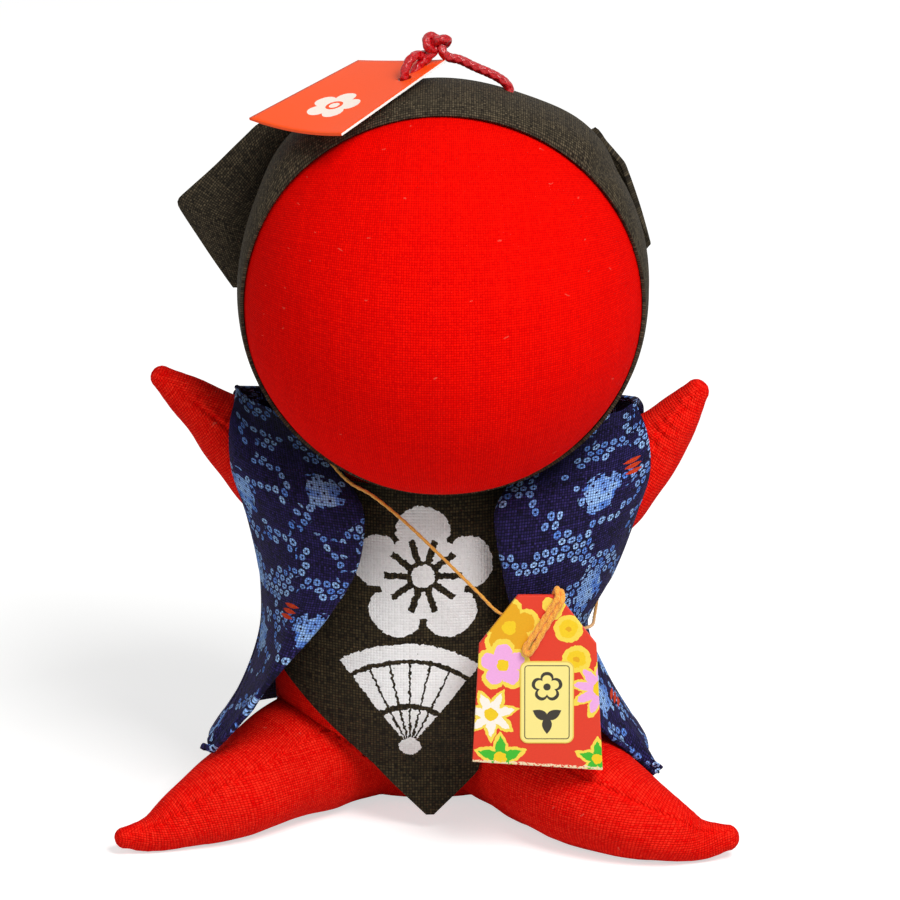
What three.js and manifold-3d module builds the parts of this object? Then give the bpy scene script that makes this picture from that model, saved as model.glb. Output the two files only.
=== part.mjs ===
// Seated cloth charm doll: a blank-faced stuffed figure in a black hood, an indigo coat and a black apron.
// Millimetres, +Z up, the face looks along -Y, and the doll stands on its seat and the undersides of its legs.
import * as THREE from "three";
import { mergeVertices } from "three/addons/utils/BufferGeometryUtils.js";
import Module from "manifold-3d";

const wasm = await Module();
wasm.setup();

// Cloth and clearances
const clearance = 0.3;
const skinCloth = 0.5;
const coatCloth = 0.7;
const apronCloth = 0.5;
const hoodCloth = 0.6;
const cornerCloth = 1.2;
const floorCut = 0.5;
const groundMiddle = new THREE.Vector3(-0.05, -6.45, 0);

// Head and hood
const headRadius = 30.3;
const headCentre = new THREE.Vector3(2.4, -8, 87);
const rimForward = 6.2;
const neckOpeningAngle = 20;
const hoodLoose = 0.9;
const hoodCornerSwell = 1.3;
const hoodCornerAngles = [48, 135];
const hoodCornerSpread = 20;
const cornerDepth = 10;
const cornerTipBack = 2.6;
const cornerSweptFrom = 28.4;
const cornerSweptTo = 39.8;

// Hood corner outlines: angle round the face, from the doll's left, and how far outside the face's edge
const leftCornerOutline = [[124.4, -4.8], [139.9, 5.5], [166.2, 10.7], [185.9, 0.8], [182.6, -7.9]];
const rightCornerOutline = [[57.1, -5.3], [41.7, 0.7], [31.3, 0.9], [7.2, 0.9], [5, -0.6], [2.7, -8.7]];

// Torso sections: height, middle in y, half width, half depth
const torsoSections = [
  [4, 12, 16.5, 10.5],
  [11, 8, 22, 14.6],
  [20, 5.4, 23.2, 16.2],
  [30, 4, 22.6, 15],
  [40, 3.5, 22, 13.8],
  [50, 3, 20.5, 12.4],
  [58, 3, 16, 9.6],
  [66, 3, 11, 7],
];
const torsoBottom = -floorCut;
const seatRound = 0.72;
const seatRise = 0.9;

// Limb axes: x, y, z and radius from the root to the tip
const leftLegSections = [
  [-8, 10.4, 10.1, 10.6],
  [-12, 7.2, 9.5, 10],
  [-17.5, 2.3, 9, 9.5],
  [-23.5, -3.1, 7.9, 8.4],
  [-29.5, -9, 6.5, 7],
  [-35.5, -12.4, 4.6, 5.1],
  [-41.2, -15.1, 2.5, 3],
  [-45.6, -16.8, 2.5, 1.7],
];
const rightLegSections = [
  [8, 11.6, 10.2, 10.7],
  [11.7, 6.3, 9.8, 10.3],
  [17.5, -2.8, 9.4, 9.9],
  [23, -11, 8.5, 9],
  [29, -16.2, 6.9, 7.4],
  [35, -18.6, 4.9, 5.4],
  [40.6, -18.6, 2.9, 3.4],
  [45.2, -18.4, 3.1, 2],
];
const leftArmSections = [
  [-12, 3, 46, 9.5],
  [-20, 3, 52.6, 8.2],
  [-26, 3, 57.6, 6.7],
  [-31.8, 3, 62.6, 4.7],
  [-36.6, 3, 66.6, 3],
  [-39.9, 3, 69.3, 1.8],
];
const rightArmSections = [
  [12, 3, 43, 9.5],
  [21, 3, 48, 8.6],
  [28, 3, 52.8, 7.3],
  [34.3, 3, 58.8, 5],
  [38, 3, 63.4, 3.3],
  [40.6, 3, 67, 1.9],
];
const fillingGap = 0.7;
const tipRingAt = 0.6;
const tipRingSize = 0.75;
const tipEndAt = 0.95;
const leastRadius = 0.4;

// Coat edges: x, y, z from the shoulder to the lower corner
const leftFrontInner = [
  [-17.5, 1, 62.4],
  [-12.6, -8, 58.4],
  [-9.9, -14.2, 55],
  [-10.4, -15.6, 46.5],
  [-14.4, -16.2, 39],
  [-21.8, -15.9, 29.6],
  [-29.2, -12.6, 19.8],
  [-33.4, -9.4, 13.7],
];
const leftFrontOuter = [
  [-28.6, 3, 67.5],
  [-29.4, -2.4, 64.5],
  [-29.2, -4.4, 58],
  [-26.8, -4, 49.5],
  [-24.9, -1.2, 38],
  [-24.9, -1.2, 30],
  [-27.8, -4, 22],
  [-33.2, -7.6, 14.4],
];
const rightFrontInner = [
  [18.5, 1, 61.5],
  [13, -8.5, 57.9],
  [10.4, -14.4, 54.5],
  [11.4, -15.8, 46],
  [13.6, -16.4, 37.5],
  [19, -16.6, 27.5],
  [27, -13.8, 18.2],
  [34.9, -12.4, 11.4],
];
const rightFrontOuter = [
  [31.4, 3, 65.4],
  [33, -2.8, 62],
  [33.2, -4.8, 57],
  [31.4, -5.2, 51],
  [28.3, -2.6, 41],
  [23.9, -1.2, 31.8],
  [27.6, -4, 22],
  [34.3, -10.4, 12],
];
const leftBackEdge = [
  [-28.6, 4.6, 67.5],
  [-29, 9, 64],
  [-28.4, 10.4, 57.5],
  [-26.2, 8, 48.5],
  [-25, 0.6, 39],
  [-25.1, -0.1, 30],
  [-27.8, -2.8, 22.2],
  [-32.7, -6.2, 14.8],
];
const rightBackEdge = [
  [31.4, 4.6, 65.4],
  [32.4, 9.2, 62],
  [31.8, 11, 56],
  [29.6, 9.6, 48.5],
  [27.2, 1.4, 39],
  [24, -0.1, 31],
  [27.4, -2.8, 22.2],
  [33.2, -7.2, 12.9],
];
const backMiddle = [
  [0, 13.4, 63.5],
  [0, 15.6, 57],
  [0, 16.6, 51],
  [0, 17.6, 44],
  [0, 19, 36],
  [0, 20.8, 28],
  [0, 23, 19],
  [0, 25, 11],
];

// How a coat panel bulges between its edges
const frontHandleAcross = 0.82;
const frontHandleDeep = 0.06;
const frontBulge = 0.6;
const backHandleOut = 1.02;

// Apron outline: x and z round the edge
const apronUnderHead = 0.7;
const apronTop = headCentre.z - headRadius - apronUnderHead;
const apronTopHalfWidth = 14;
const apronCornerHalfWidth = 22;
const apronCornerHeight = 25.3;
const apronTipHeight = 2.4;
const apronTipX = 0.4;
const apronTipHalfWidth = 0.6;
const apronStandOff = 0.7;

// Amulet
const amuletTop = new THREE.Vector3(16.6, -18.8, 42.8);
const amuletLength = 26.7;
const amuletLowerWidth = 19.6;
const amuletShoulderWidth = 17.6;
const amuletTopWidth = 6;
const amuletShoulderDrop = 7.6;
const amuletCard = 0.9;
const amuletLean = 5;
const labelWidth = 8.1;
const labelLength = 12.9;
const labelCorner = 1.2;
const labelPaper = 0.3;
const labelDrop = 10.2;
const labelOffset = 1.4;
const loopThread = 0.9;
const loopTopAcross = 2.6;
const loopTopDrop = 1.6;
const loopEndAcross = -1.6;
const loopEndDrop = 8.6;
const neckThreadDiameter = 0.5;

// Hang cord and tag, measured from the crown of the hood
const crown = new THREE.Vector3(0, 0, headRadius + clearance + hoodCloth + hoodLoose).add(headCentre);
const cordDiameter = 1.35;
const knotRadius = 2.1;
const knotCentre = new THREE.Vector3(-0.7, 6.4, 4.9);
const tagCentre = new THREE.Vector3(-14.06, 2.15, -1.1);
const tagNormal = new THREE.Vector3(-0.238, 0.012, 0.971);
const tagAcross = new THREE.Vector3(0.725, -0.663, 0.186);
const tagWidth = 18.5;
const tagLength = 24.5;
const tagCard = 0.4;
const tagHoleRadius = 1.2;
const tagHoleAcross = 6;
const tagHoleAlong = 6.1;
const cordToExit = [
  [1.5, 6.2, 3.3],
  [4.35, 5.8, 1.8],
  [7.5, 5.2, 0.7],
  [9.3, 4.8, -0.3],
];
const cordThroughTag = [
  [-2.9, 5.1, 4.5],
  [-4.7, 3.6, 3.6],
  [-5.6, 2.9, 2.3],
  [-5.8, 2.74, 1.2],
  [-5.65, 2.74, 0.3],
];

// Neck thread: from its tie at the back over the left shoulder, down the front and round the right side
const neckThreadRoute = [
  [0.6, 17.6, 51.2],
  [-4, 16.8, 56],
  [-9.4, 14.8, 62.4],
  [-11.9, 12.6, 64.7],
  [-15.2, 7.4, 65.3],
  [-17.6, 2.6, 64.4],
  [-17.8, -1.6, 63.2],
  [-14.1, -9, 59.7],
  [-11.4, -13.2, 58.4],
  [-8.2, -16.2, 57.6],
  [-3.5, -17.4, 54],
  [2.1, -17.9, 48.5],
  [7.7, -18.1, 42.7],
  [11, -18.2, 39.4],
  [16.8, -17.9, 37.2],
  [21.6, -15.3, 35.9],
  [23.6, -12, 34.6],
  [24.9, -7.6, 33.4],
  [25.3, -2.4, 32.8],
  [25.7, 2.5, 33.2],
  [26, 7.7, 34.5],
  [25.1, 11.4, 35.8],
  [22.2, 14.9, 38.4],
  [17.8, 17.2, 41.2],
  [9.6, 18.3, 45],
  [3, 17.9, 49.2],
];

// Colours from the photographed cloth, paper and thread
const finishes = {
  red: { color: 0xe60a0a, roughness: 0.85 },
  wadding: { color: 0xf0ece2, roughness: 1 },
  black: { color: 0x2c2824, roughness: 0.95 },
  indigo: { color: 0x191446, roughness: 0.9 },
  gold: { color: 0xf0a01e, roughness: 0.5 },
  paper: { color: 0xe1371e, roughness: 0.6 },
  label: { color: 0xfae678, roughness: 0.5 },
  cord: { color: 0xd21414, roughness: 0.4 },
  card: { color: 0xe65528, roughness: 0.55 },
};

const doll = new THREE.Group();
const up = new THREE.Vector3(0, 0, 1);

function addPiece(name, geometry, finish) {
  const material = new THREE.MeshStandardMaterial({ ...finishes[finish], metalness: 0 });
  const mesh = new THREE.Mesh(geometry, material);
  mesh.name = name;
  doll.add(mesh);
  return mesh;
}

function toSolid(geometry) {
  const bare = geometry.clone();
  bare.deleteAttribute("normal");
  bare.deleteAttribute("uv");
  const merged = mergeVertices(bare, 1e-5);
  return new wasm.Manifold(new wasm.Mesh({
    numProp: 3,
    vertProperties: new Float32Array(merged.attributes.position.array),
    triVerts: new Uint32Array(merged.index.array),
  }));
}

// The largest connected body is the piece; a sliver that a cut leaves behind is dropped
function toGeometry(solid) {
  const bodies = solid.decompose().sort((a, b) => b.volume() - a.volume());
  const mesh = bodies[0].getMesh();
  const geometry = new THREE.BufferGeometry();
  geometry.setAttribute("position", new THREE.BufferAttribute(mesh.vertProperties, 3));
  geometry.setIndex(new THREE.BufferAttribute(mesh.triVerts, 1));
  geometry.computeVertexNormals();
  return geometry;
}

function cut(geometry, tools) {
  let solid = toSolid(geometry);
  for (const tool of tools) {
    solid = solid.subtract(tool);
  }
  return toGeometry(solid);
}

// A closed body from rings of points between two end points, turned so that its faces point out
function bodyFromRings(startPole, rings, endPole) {
  const count = rings[0].length;
  const points = [startPole, ...rings.flat(), endPole];
  const last = points.length - 1;
  const faces = [];
  for (let i = 0; i < count; i += 1) {
    const next = (i + 1) % count;
    faces.push([0, 1 + next, 1 + i]);
    for (let r = 0; r < rings.length - 1; r += 1) {
      const a = 1 + r * count;
      const b = a + count;
      faces.push([a + i, a + next, b + next], [a + i, b + next, b + i]);
    }
    const end = 1 + (rings.length - 1) * count;
    faces.push([last, end + i, end + next]);
  }
  return closedGeometry(points, faces);
}

function closedGeometry(points, faces) {
  let volume = 0;
  for (const [a, b, c] of faces) {
    volume += points[a].dot(points[b].clone().cross(points[c]));
  }
  const turned = volume < 0 ? faces.map(([a, b, c]) => [a, c, b]) : faces;
  const geometry = new THREE.BufferGeometry();
  geometry.setAttribute("position", new THREE.Float32BufferAttribute(points.flatMap((p) => [p.x, p.y, p.z]), 3));
  geometry.setIndex(turned.flat());
  geometry.computeVertexNormals();
  return geometry;
}

// A cloth sheet of the given thickness round a middle surface of rows and columns
function sheetBody(surface, columns, rows, thickness) {
  const step = 1e-3;
  const points = [];
  const sides = [0.5, -0.5];
  for (const side of sides) {
    for (let r = 0; r <= rows; r += 1) {
      for (let c = 0; c <= columns; c += 1) {
        const u = Math.min(Math.max(c / columns, step), 1 - step);
        const v = Math.min(Math.max(r / rows, step), 1 - step);
        const alongU = surface(u + step, v).sub(surface(u - step, v));
        const alongV = surface(u, v + step).sub(surface(u, v - step));
        const normal = alongU.cross(alongV).normalize();
        points.push(surface(c / columns, r / rows).addScaledVector(normal, side * thickness));
      }
    }
  }
  const width = columns + 1;
  const layer = width * (rows + 1);
  const faces = [];
  for (let r = 0; r < rows; r += 1) {
    for (let c = 0; c < columns; c += 1) {
      const a = r * width + c;
      const b = a + 1;
      const d = a + width;
      const e = d + 1;
      faces.push([a, b, e], [a, e, d]);
      faces.push([layer + a, layer + e, layer + b], [layer + a, layer + d, layer + e]);
    }
  }
  const border = [];
  for (let c = 0; c < columns; c += 1) border.push(c);
  for (let r = 0; r < rows; r += 1) border.push(r * width + columns);
  for (let c = columns; c > 0; c -= 1) border.push(rows * width + c);
  for (let r = rows; r > 0; r -= 1) border.push(r * width);
  border.forEach((a, i) => {
    const b = border[(i + 1) % border.length];
    faces.push([b, a, layer + a], [b, layer + a, layer + b]);
  });
  return closedGeometry(points, faces);
}

function curveThrough(points) {
  return new THREE.CatmullRomCurve3(points.map((p) => new THREE.Vector3(p[0], p[1], p[2])));
}

// Stuffed limb: rings square to its axis, drawn in to a rounded tip
const skinSides = 14;
const skinRings = 8;
const fillingSides = 10;
const fillingRings = 6;
function limbRing(centre, along, radius, sides) {
  const across = new THREE.Vector3().crossVectors(along, up).normalize();
  const rise = new THREE.Vector3().crossVectors(across, along).normalize();
  const ring = [];
  for (let i = 0; i < sides; i += 1) {
    const angle = (i / sides) * Math.PI * 2;
    ring.push(centre.clone()
      .addScaledVector(across, Math.cos(angle) * radius)
      .addScaledVector(rise, Math.sin(angle) * radius));
  }
  return ring;
}

function limbRingSet(sections, inset, sides, count) {
  const axis = curveThrough(sections);
  const radii = curveThrough(sections.map((s) => [s[3], 0, 0]));
  const rings = [];
  for (let i = 0; i < count; i += 1) {
    const t = i / (count - 1);
    const radius = Math.max(radii.getPoint(t).x - inset, leastRadius);
    rings.push(limbRing(axis.getPoint(t), axis.getTangent(t), radius, sides));
  }
  const tip = axis.getPoint(1);
  const along = axis.getTangent(1);
  const tipRadius = Math.max(sections[sections.length - 1][3] - inset, leastRadius);
  const lastCentre = tip.clone().addScaledVector(along, tipRadius * tipRingAt);
  rings.push(limbRing(lastCentre, along, tipRadius * tipRingSize, sides));
  const pole = tip.clone().addScaledVector(along, tipRadius * tipEndAt);
  return { rings, pole, root: axis.getPoint(0) };
}

function limbSolid(sections, inset, sides, count) {
  const { rings, pole, root } = limbRingSet(sections, inset, sides, count);
  return bodyFromRings(root, rings, pole);
}

function limbSkin(sections) {
  const outer = limbRingSet(sections, 0, skinSides, skinRings);
  const inner = limbRingSet(sections, skinCloth, skinSides, skinRings);
  return bodyFromRings(outer.pole, [...outer.rings.reverse(), ...inner.rings], inner.pole);
}

// Torso: level ovals, rounded under the seat and open at the neck
const torsoSides = 22;
const torsoRings = 10;
function torsoRingSet(inset, sides = torsoSides, count = torsoRings) {
  const middle = curveThrough(torsoSections.map((s) => [0, s[1], s[0]]));
  const half = curveThrough(torsoSections.map((s) => [s[2], s[3], 0]));
  const rings = [];
  for (let i = 0; i < count; i += 1) {
    const t = i / (count - 1);
    rings.push(torsoRing(middle.getPoint(t), half.getPoint(t), inset, sides));
  }
  const seat = new THREE.Vector3(0, torsoSections[0][1], torsoBottom + inset);
  const lowest = half.getPoint(0).multiplyScalar(seatRound);
  rings.unshift(torsoRing(new THREE.Vector3(0, seat.y, seat.z + seatRise), lowest, inset, sides));
  return { rings, seat, neck: middle.getPoint(1) };
}

function torsoRing(centre, half, inset, sides) {
  const ring = [];
  for (let i = 0; i < sides; i += 1) {
    const angle = (i / sides) * Math.PI * 2;
    ring.push(new THREE.Vector3(
      Math.cos(angle) * (half.x - inset),
      centre.y + Math.sin(angle) * (half.y - inset),
      centre.z,
    ));
  }
  return ring;
}

function torsoSolid(inset, sides, count) {
  const { rings, seat, neck } = torsoRingSet(inset, sides, count);
  return bodyFromRings(seat, rings, neck);
}

// Ball of cloth or wadding round the head centre, its pole opposite the neck
const neckDirection = new THREE.Vector3(0, torsoSections[6][1], torsoSections[6][0]).sub(headCentre).normalize();
const headSides = 28;
const headRings = 11;
function headRing(radius, angle, sides) {
  const across = new THREE.Vector3().crossVectors(neckDirection, new THREE.Vector3(0, 1, 0)).normalize();
  const other = new THREE.Vector3().crossVectors(neckDirection, across);
  const ring = [];
  for (let i = 0; i < sides; i += 1) {
    const turn = (i / sides) * Math.PI * 2;
    ring.push(headCentre.clone()
      .addScaledVector(neckDirection, -Math.cos(angle) * radius)
      .addScaledVector(across, Math.sin(angle) * Math.cos(turn) * radius)
      .addScaledVector(other, Math.sin(angle) * Math.sin(turn) * radius));
  }
  return ring;
}

function headPole(radius, side) {
  return headCentre.clone().addScaledVector(neckDirection, side * radius);
}

function headBall(radius, sides = headSides, count = headRings) {
  const rings = [];
  for (let i = 1; i <= count; i += 1) {
    rings.push(headRing(radius, (i / (count + 1)) * Math.PI, sides));
  }
  return bodyFromRings(headPole(radius, -1), rings, headPole(radius, 1));
}

function faceCloth() {
  const inner = headRadius - skinCloth;
  const last = Math.PI - THREE.MathUtils.degToRad(neckOpeningAngle);
  const angles = [];
  for (let i = 1; i <= headRings; i += 1) {
    angles.push((i / headRings) * last);
  }
  const outerRings = angles.map((a) => headRing(headRadius, a, headSides));
  const innerRings = angles.map((a) => headRing(inner, a, headSides)).reverse();
  return bodyFromRings(headPole(headRadius, -1), [...outerRings, ...innerRings], headPole(inner, -1));
}

// Hood: a bag of cloth behind the face opening, a little loose over the crown and at its two upper corners
const hoodSides = 32;
const hoodRings = 9;
const rimAngle = Math.acos(rimForward / headRadius);
function hoodSwell(turn) {
  const degrees = THREE.MathUtils.radToDeg(turn);
  const looseTop = Math.max(Math.sin(turn), 0) * hoodLoose;
  return hoodCornerAngles
    .map((a) => Math.exp(-(((degrees - a) / hoodCornerSpread) ** 2)) * hoodCornerSwell)
    .reduce((sum, value) => sum + value, looseTop);
}

function hoodRing(angle, outside) {
  const ring = [];
  for (let i = 0; i < hoodSides; i += 1) {
    const turn = (i / hoodSides) * Math.PI * 2;
    let radius = headRadius + clearance;
    if (outside) {
      radius += hoodCloth + hoodSwell(turn) * Math.sin(angle) ** 2;
    }
    ring.push(new THREE.Vector3(
      headCentre.x + Math.cos(turn) * Math.sin(angle) * radius,
      headCentre.y - Math.cos(angle) * radius,
      headCentre.z + Math.sin(turn) * Math.sin(angle) * radius,
    ));
  }
  return ring;
}

function hoodBody() {
  const angles = [];
  for (let i = 0; i < hoodRings; i += 1) {
    angles.push(rimAngle + (i / hoodRings) * (Math.PI - rimAngle));
  }
  const backInner = headCentre.clone().add(new THREE.Vector3(0, headRadius + clearance, 0));
  const backOuter = backInner.clone().add(new THREE.Vector3(0, hoodCloth, 0));
  const outerRings = angles.map((a) => hoodRing(a, true)).reverse();
  const innerRings = angles.map((a) => hoodRing(a, false));
  return bodyFromRings(backOuter, [...outerRings, ...innerRings], backInner);
}

// Hood corner: a flat fold of cloth behind the band, swept back towards its tip
function hoodCorner(outline) {
  const shape = new THREE.Shape(outline.map(([angle, out]) => {
    const turn = THREE.MathUtils.degToRad(angle);
    return new THREE.Vector2(Math.cos(turn), Math.sin(turn)).multiplyScalar(headRadius + out);
  }));
  const plate = new THREE.ExtrudeGeometry(shape, { depth: cornerCloth, bevelEnabled: false });
  plate.deleteAttribute("normal");
  plate.deleteAttribute("uv");
  const merged = mergeVertices(plate, 1e-5);
  const position = merged.attributes.position;
  const points = [];
  for (let i = 0; i < position.count; i += 1) {
    const x = position.getX(i);
    const swept = Math.max(Math.abs(x) - cornerSweptFrom, 0) / (cornerSweptTo - cornerSweptFrom);
    const y = cornerDepth + position.getZ(i) + cornerTipBack * swept * swept;
    points.push(new THREE.Vector3(x, y, position.getY(i)).add(headCentre));
  }
  const faces = [];
  for (let i = 0; i < merged.index.count; i += 3) {
    faces.push([merged.index.getX(i), merged.index.getX(i + 1), merged.index.getX(i + 2)]);
  }
  return closedGeometry(points, faces);
}

// Coat front: an arched sheet between its front edge and its side edge
const coatColumns = 8;
const coatRows = 14;
function coatFront(innerPoints, outerPoints) {
  const inner = curveThrough(innerPoints);
  const outer = curveThrough(outerPoints);
  return (u, v) => {
    const a = inner.getPoint(v);
    const c = outer.getPoint(v);
    const b = new THREE.Vector3(
      THREE.MathUtils.lerp(a.x, c.x, frontHandleAcross),
      THREE.MathUtils.lerp(a.y, c.y, frontHandleDeep) - frontBulge,
      (a.z + c.z) / 2,
    );
    const keep = (1 - u) * (1 - u);
    return a.clone().multiplyScalar(keep)
      .addScaledVector(b, 2 * u * (1 - u))
      .addScaledVector(c, u * u);
  };
}

// Coat back: a sheet from side seam to side seam; its two handles carry its middle through the spine
const backColumns = 14;
const backRows = 12;
const backEdges = { left: curveThrough(leftBackEdge), right: curveThrough(rightBackEdge) };
const backSpine = curveThrough(backMiddle);
function coatBack(u, v) {
  const left = backEdges.left.getPoint(v);
  const right = backEdges.right.getPoint(v);
  const spine = backSpine.getPoint(v);
  const handleY = (8 * spine.y - left.y - right.y) / 6;
  const handleZ = (8 * spine.z - left.z - right.z) / 6;
  const nearLeft = new THREE.Vector3(left.x * backHandleOut, handleY, handleZ);
  const nearRight = new THREE.Vector3(right.x * backHandleOut, handleY, handleZ);
  return new THREE.CubicBezierCurve3(left, nearLeft, nearRight, right).getPoint(u);
}

// Apron: a pointed cloth that hangs down the front of the torso
const apronColumns = 10;
const apronRows = 12;
function apronSurface(u, v) {
  const z = THREE.MathUtils.lerp(apronTop, apronTipHeight, v);
  const cornerV = (apronTop - apronCornerHeight) / (apronTop - apronTipHeight);
  const widening = THREE.MathUtils.lerp(apronTopHalfWidth, apronCornerHalfWidth, v / cornerV);
  const narrowing = apronCornerHalfWidth * (1 - (v - cornerV) / (1 - cornerV)) + apronTipHalfWidth;
  const halfWidth = Math.min(widening, narrowing);
  const x = (u * 2 - 1) * halfWidth + apronTipX * v;
  return new THREE.Vector3(x, apronFront(x, z), z);
}

function apronFront(x, z) {
  const middle = curveThrough(torsoSections.map((s) => [0, s[1], s[0]]));
  const half = curveThrough(torsoSections.map((s) => [s[2], s[3], 0]));
  const t = sectionAtHeight(middle, Math.max(z, torsoSections[1][0]));
  const size = half.getPoint(t);
  const ratio = Math.min(Math.abs(x) / (size.x + apronStandOff), 0.99);
  const front = middle.getPoint(t).y - (size.y + apronStandOff) * Math.sqrt(1 - ratio * ratio);
  return front - apronStandOff / 2;
}

const halvings = 24;
function sectionAtHeight(middle, z) {
  let low = 0;
  let high = 1;
  for (let i = 0; i < halvings; i += 1) {
    const t = (low + high) / 2;
    if (middle.getPoint(t).z < z) {
      low = t;
    } else {
      high = t;
    }
  }
  return low;
}

// Round cord or thread along a chosen route
const cordSides = 8;
const cordStep = 2.5;
const mostCordSteps = 64;
function cordBody(points, diameter, stepDiameters = cordStep) {
  const section = new THREE.Shape();
  for (let i = 0; i < cordSides; i += 1) {
    const angle = (i / cordSides) * Math.PI * 2;
    const x = (Math.cos(angle) * diameter) / 2;
    const y = (Math.sin(angle) * diameter) / 2;
    if (i === 0) {
      section.moveTo(x, y);
    } else {
      section.lineTo(x, y);
    }
  }
  section.closePath();
  const route = curveThrough(points);
  const steps = Math.min(Math.ceil(route.getLength() / (diameter * stepDiameters)), mostCordSteps);
  return new THREE.ExtrudeGeometry(section, { steps, bevelEnabled: false, extrudePath: route });
}

// The ground removes what hangs below the seat and the legs
const groundSize = 200;
const ground = toSolid(new THREE.BoxGeometry(groundSize, groundSize, groundSize).translate(0, 0, -groundSize / 2));
const headClear = toSolid(headBall(headRadius + clearance));
const torsoClear = toSolid(torsoSolid(-clearance));

// Head
addPiece("face_cloth", faceCloth(), "red");
const headFillingSides = 20;
const headFillingRings = 8;
const headFilling = headBall(headRadius - skinCloth - fillingGap, headFillingSides, headFillingRings);
addPiece("head_filling", headFilling, "wadding");

// Torso, cut by the head that is sewn on its neck
const torsoOuter = torsoRingSet(0);
const torsoInner = torsoRingSet(skinCloth);
const torsoSkin = bodyFromRings(
  torsoOuter.seat,
  [...torsoOuter.rings, ...torsoInner.rings.reverse()],
  torsoInner.seat.clone().setZ(skinCloth),
);
addPiece("torso_cloth", cut(torsoSkin, [headClear, ground]), "red");
const fillingGround = ground.translate([0, 0, skinCloth + fillingGap]);
const torsoFillingSides = 16;
const torsoFillingRings = 8;
const torsoFilling = torsoSolid(skinCloth + fillingGap, torsoFillingSides, torsoFillingRings);
addPiece("torso_filling", cut(torsoFilling, [headClear, fillingGround]), "wadding");

// Limbs, cut by the torso and the head
const limbs = {
  left_leg: leftLegSections,
  right_leg: rightLegSections,
  left_arm: leftArmSections,
  right_arm: rightArmSections,
};
const limbsClear = {};
for (const [name, sections] of Object.entries(limbs)) {
  limbsClear[name] = toSolid(limbSolid(sections, -clearance, skinSides, skinRings));
}
for (const [name, sections] of Object.entries(limbs)) {
  const tools = [torsoClear, headClear];
  if (name === "right_leg") {
    tools.push(limbsClear.left_leg);
  }
  addPiece(`${name}_cloth`, cut(limbSkin(sections), [...tools, ground]), "red");
  const filling = limbSolid(sections, skinCloth + fillingGap, fillingSides, fillingRings);
  addPiece(`${name}_filling`, cut(filling, [...tools, fillingGround]), "wadding");
}

// Hood, cut by the torso at the neck
const hood = hoodBody();
addPiece("hood", cut(hood, [torsoClear]), "black");
const hoodClear = toSolid(headBall(headRadius + 2 * clearance + hoodCloth));
const hoodSolid = toSolid(hood);
addPiece("hood_corner_left", cut(hoodCorner(leftCornerOutline), [hoodClear, hoodSolid]), "black");
addPiece("hood_corner_right", cut(hoodCorner(rightCornerOutline), [hoodClear, hoodSolid]), "black");

// Apron and coat, cut clear of the body below them
const bodyClear = [torsoClear, ...Object.values(limbsClear), headClear, hoodSolid];
const apron = sheetBody(apronSurface, apronColumns, apronRows, apronCloth);
addPiece("apron", cut(apron, [...bodyClear, ground]), "black");
const leftFront = sheetBody(coatFront(leftFrontInner, leftFrontOuter), coatColumns, coatRows, coatCloth);
const rightFront = sheetBody(coatFront(rightFrontInner, rightFrontOuter), coatColumns, coatRows, coatCloth);
const back = sheetBody(coatBack, backColumns, backRows, coatCloth);
addPiece("coat_left_front", cut(leftFront, bodyClear), "indigo");
addPiece("coat_right_front", cut(rightFront, bodyClear), "indigo");
addPiece("coat_back", cut(back, bodyClear), "indigo");

// Neck thread
addPiece("neck_thread", cordBody(neckThreadRoute, neckThreadDiameter), "gold");

// Amulet, hung by its top on the neck thread
const amulet = new THREE.Group();
amulet.position.copy(amuletTop);
amulet.rotation.x = -THREE.MathUtils.degToRad(amuletLean);
doll.add(amulet);

function hangOn(group, name, geometry, finish) {
  const piece = addPiece(name, geometry, finish);
  group.add(piece);
}

function flatPiece(shape, thickness) {
  const plate = new THREE.ExtrudeGeometry(shape, { depth: thickness, bevelEnabled: false, curveSegments: 3 });
  return plate.rotateX(Math.PI / 2);
}

const cardShape = new THREE.Shape([
  new THREE.Vector2(-amuletTopWidth / 2, 0),
  new THREE.Vector2(-amuletShoulderWidth / 2, -amuletShoulderDrop),
  new THREE.Vector2(-amuletLowerWidth / 2, -amuletLength),
  new THREE.Vector2(amuletLowerWidth / 2, -amuletLength),
  new THREE.Vector2(amuletShoulderWidth / 2, -amuletShoulderDrop),
  new THREE.Vector2(amuletTopWidth / 2, 0),
]);
hangOn(amulet, "amulet_card", flatPiece(cardShape, amuletCard), "paper");

function roundedPlate(width, length, corner) {
  const x = width / 2;
  const y = length / 2;
  const shape = new THREE.Shape();
  shape.absarc(x - corner, y - corner, corner, 0, Math.PI / 2);
  shape.absarc(corner - x, y - corner, corner, Math.PI / 2, Math.PI);
  shape.absarc(corner - x, corner - y, corner, Math.PI, 1.5 * Math.PI);
  shape.absarc(x - corner, corner - y, corner, 1.5 * Math.PI, 2 * Math.PI);
  return shape;
}
const label = flatPiece(roundedPlate(labelWidth, labelLength, labelCorner), labelPaper);
label.translate(labelOffset, -amuletCard - clearance, -labelDrop - labelLength / 2);
hangOn(amulet, "amulet_label", label, "label");

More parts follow.
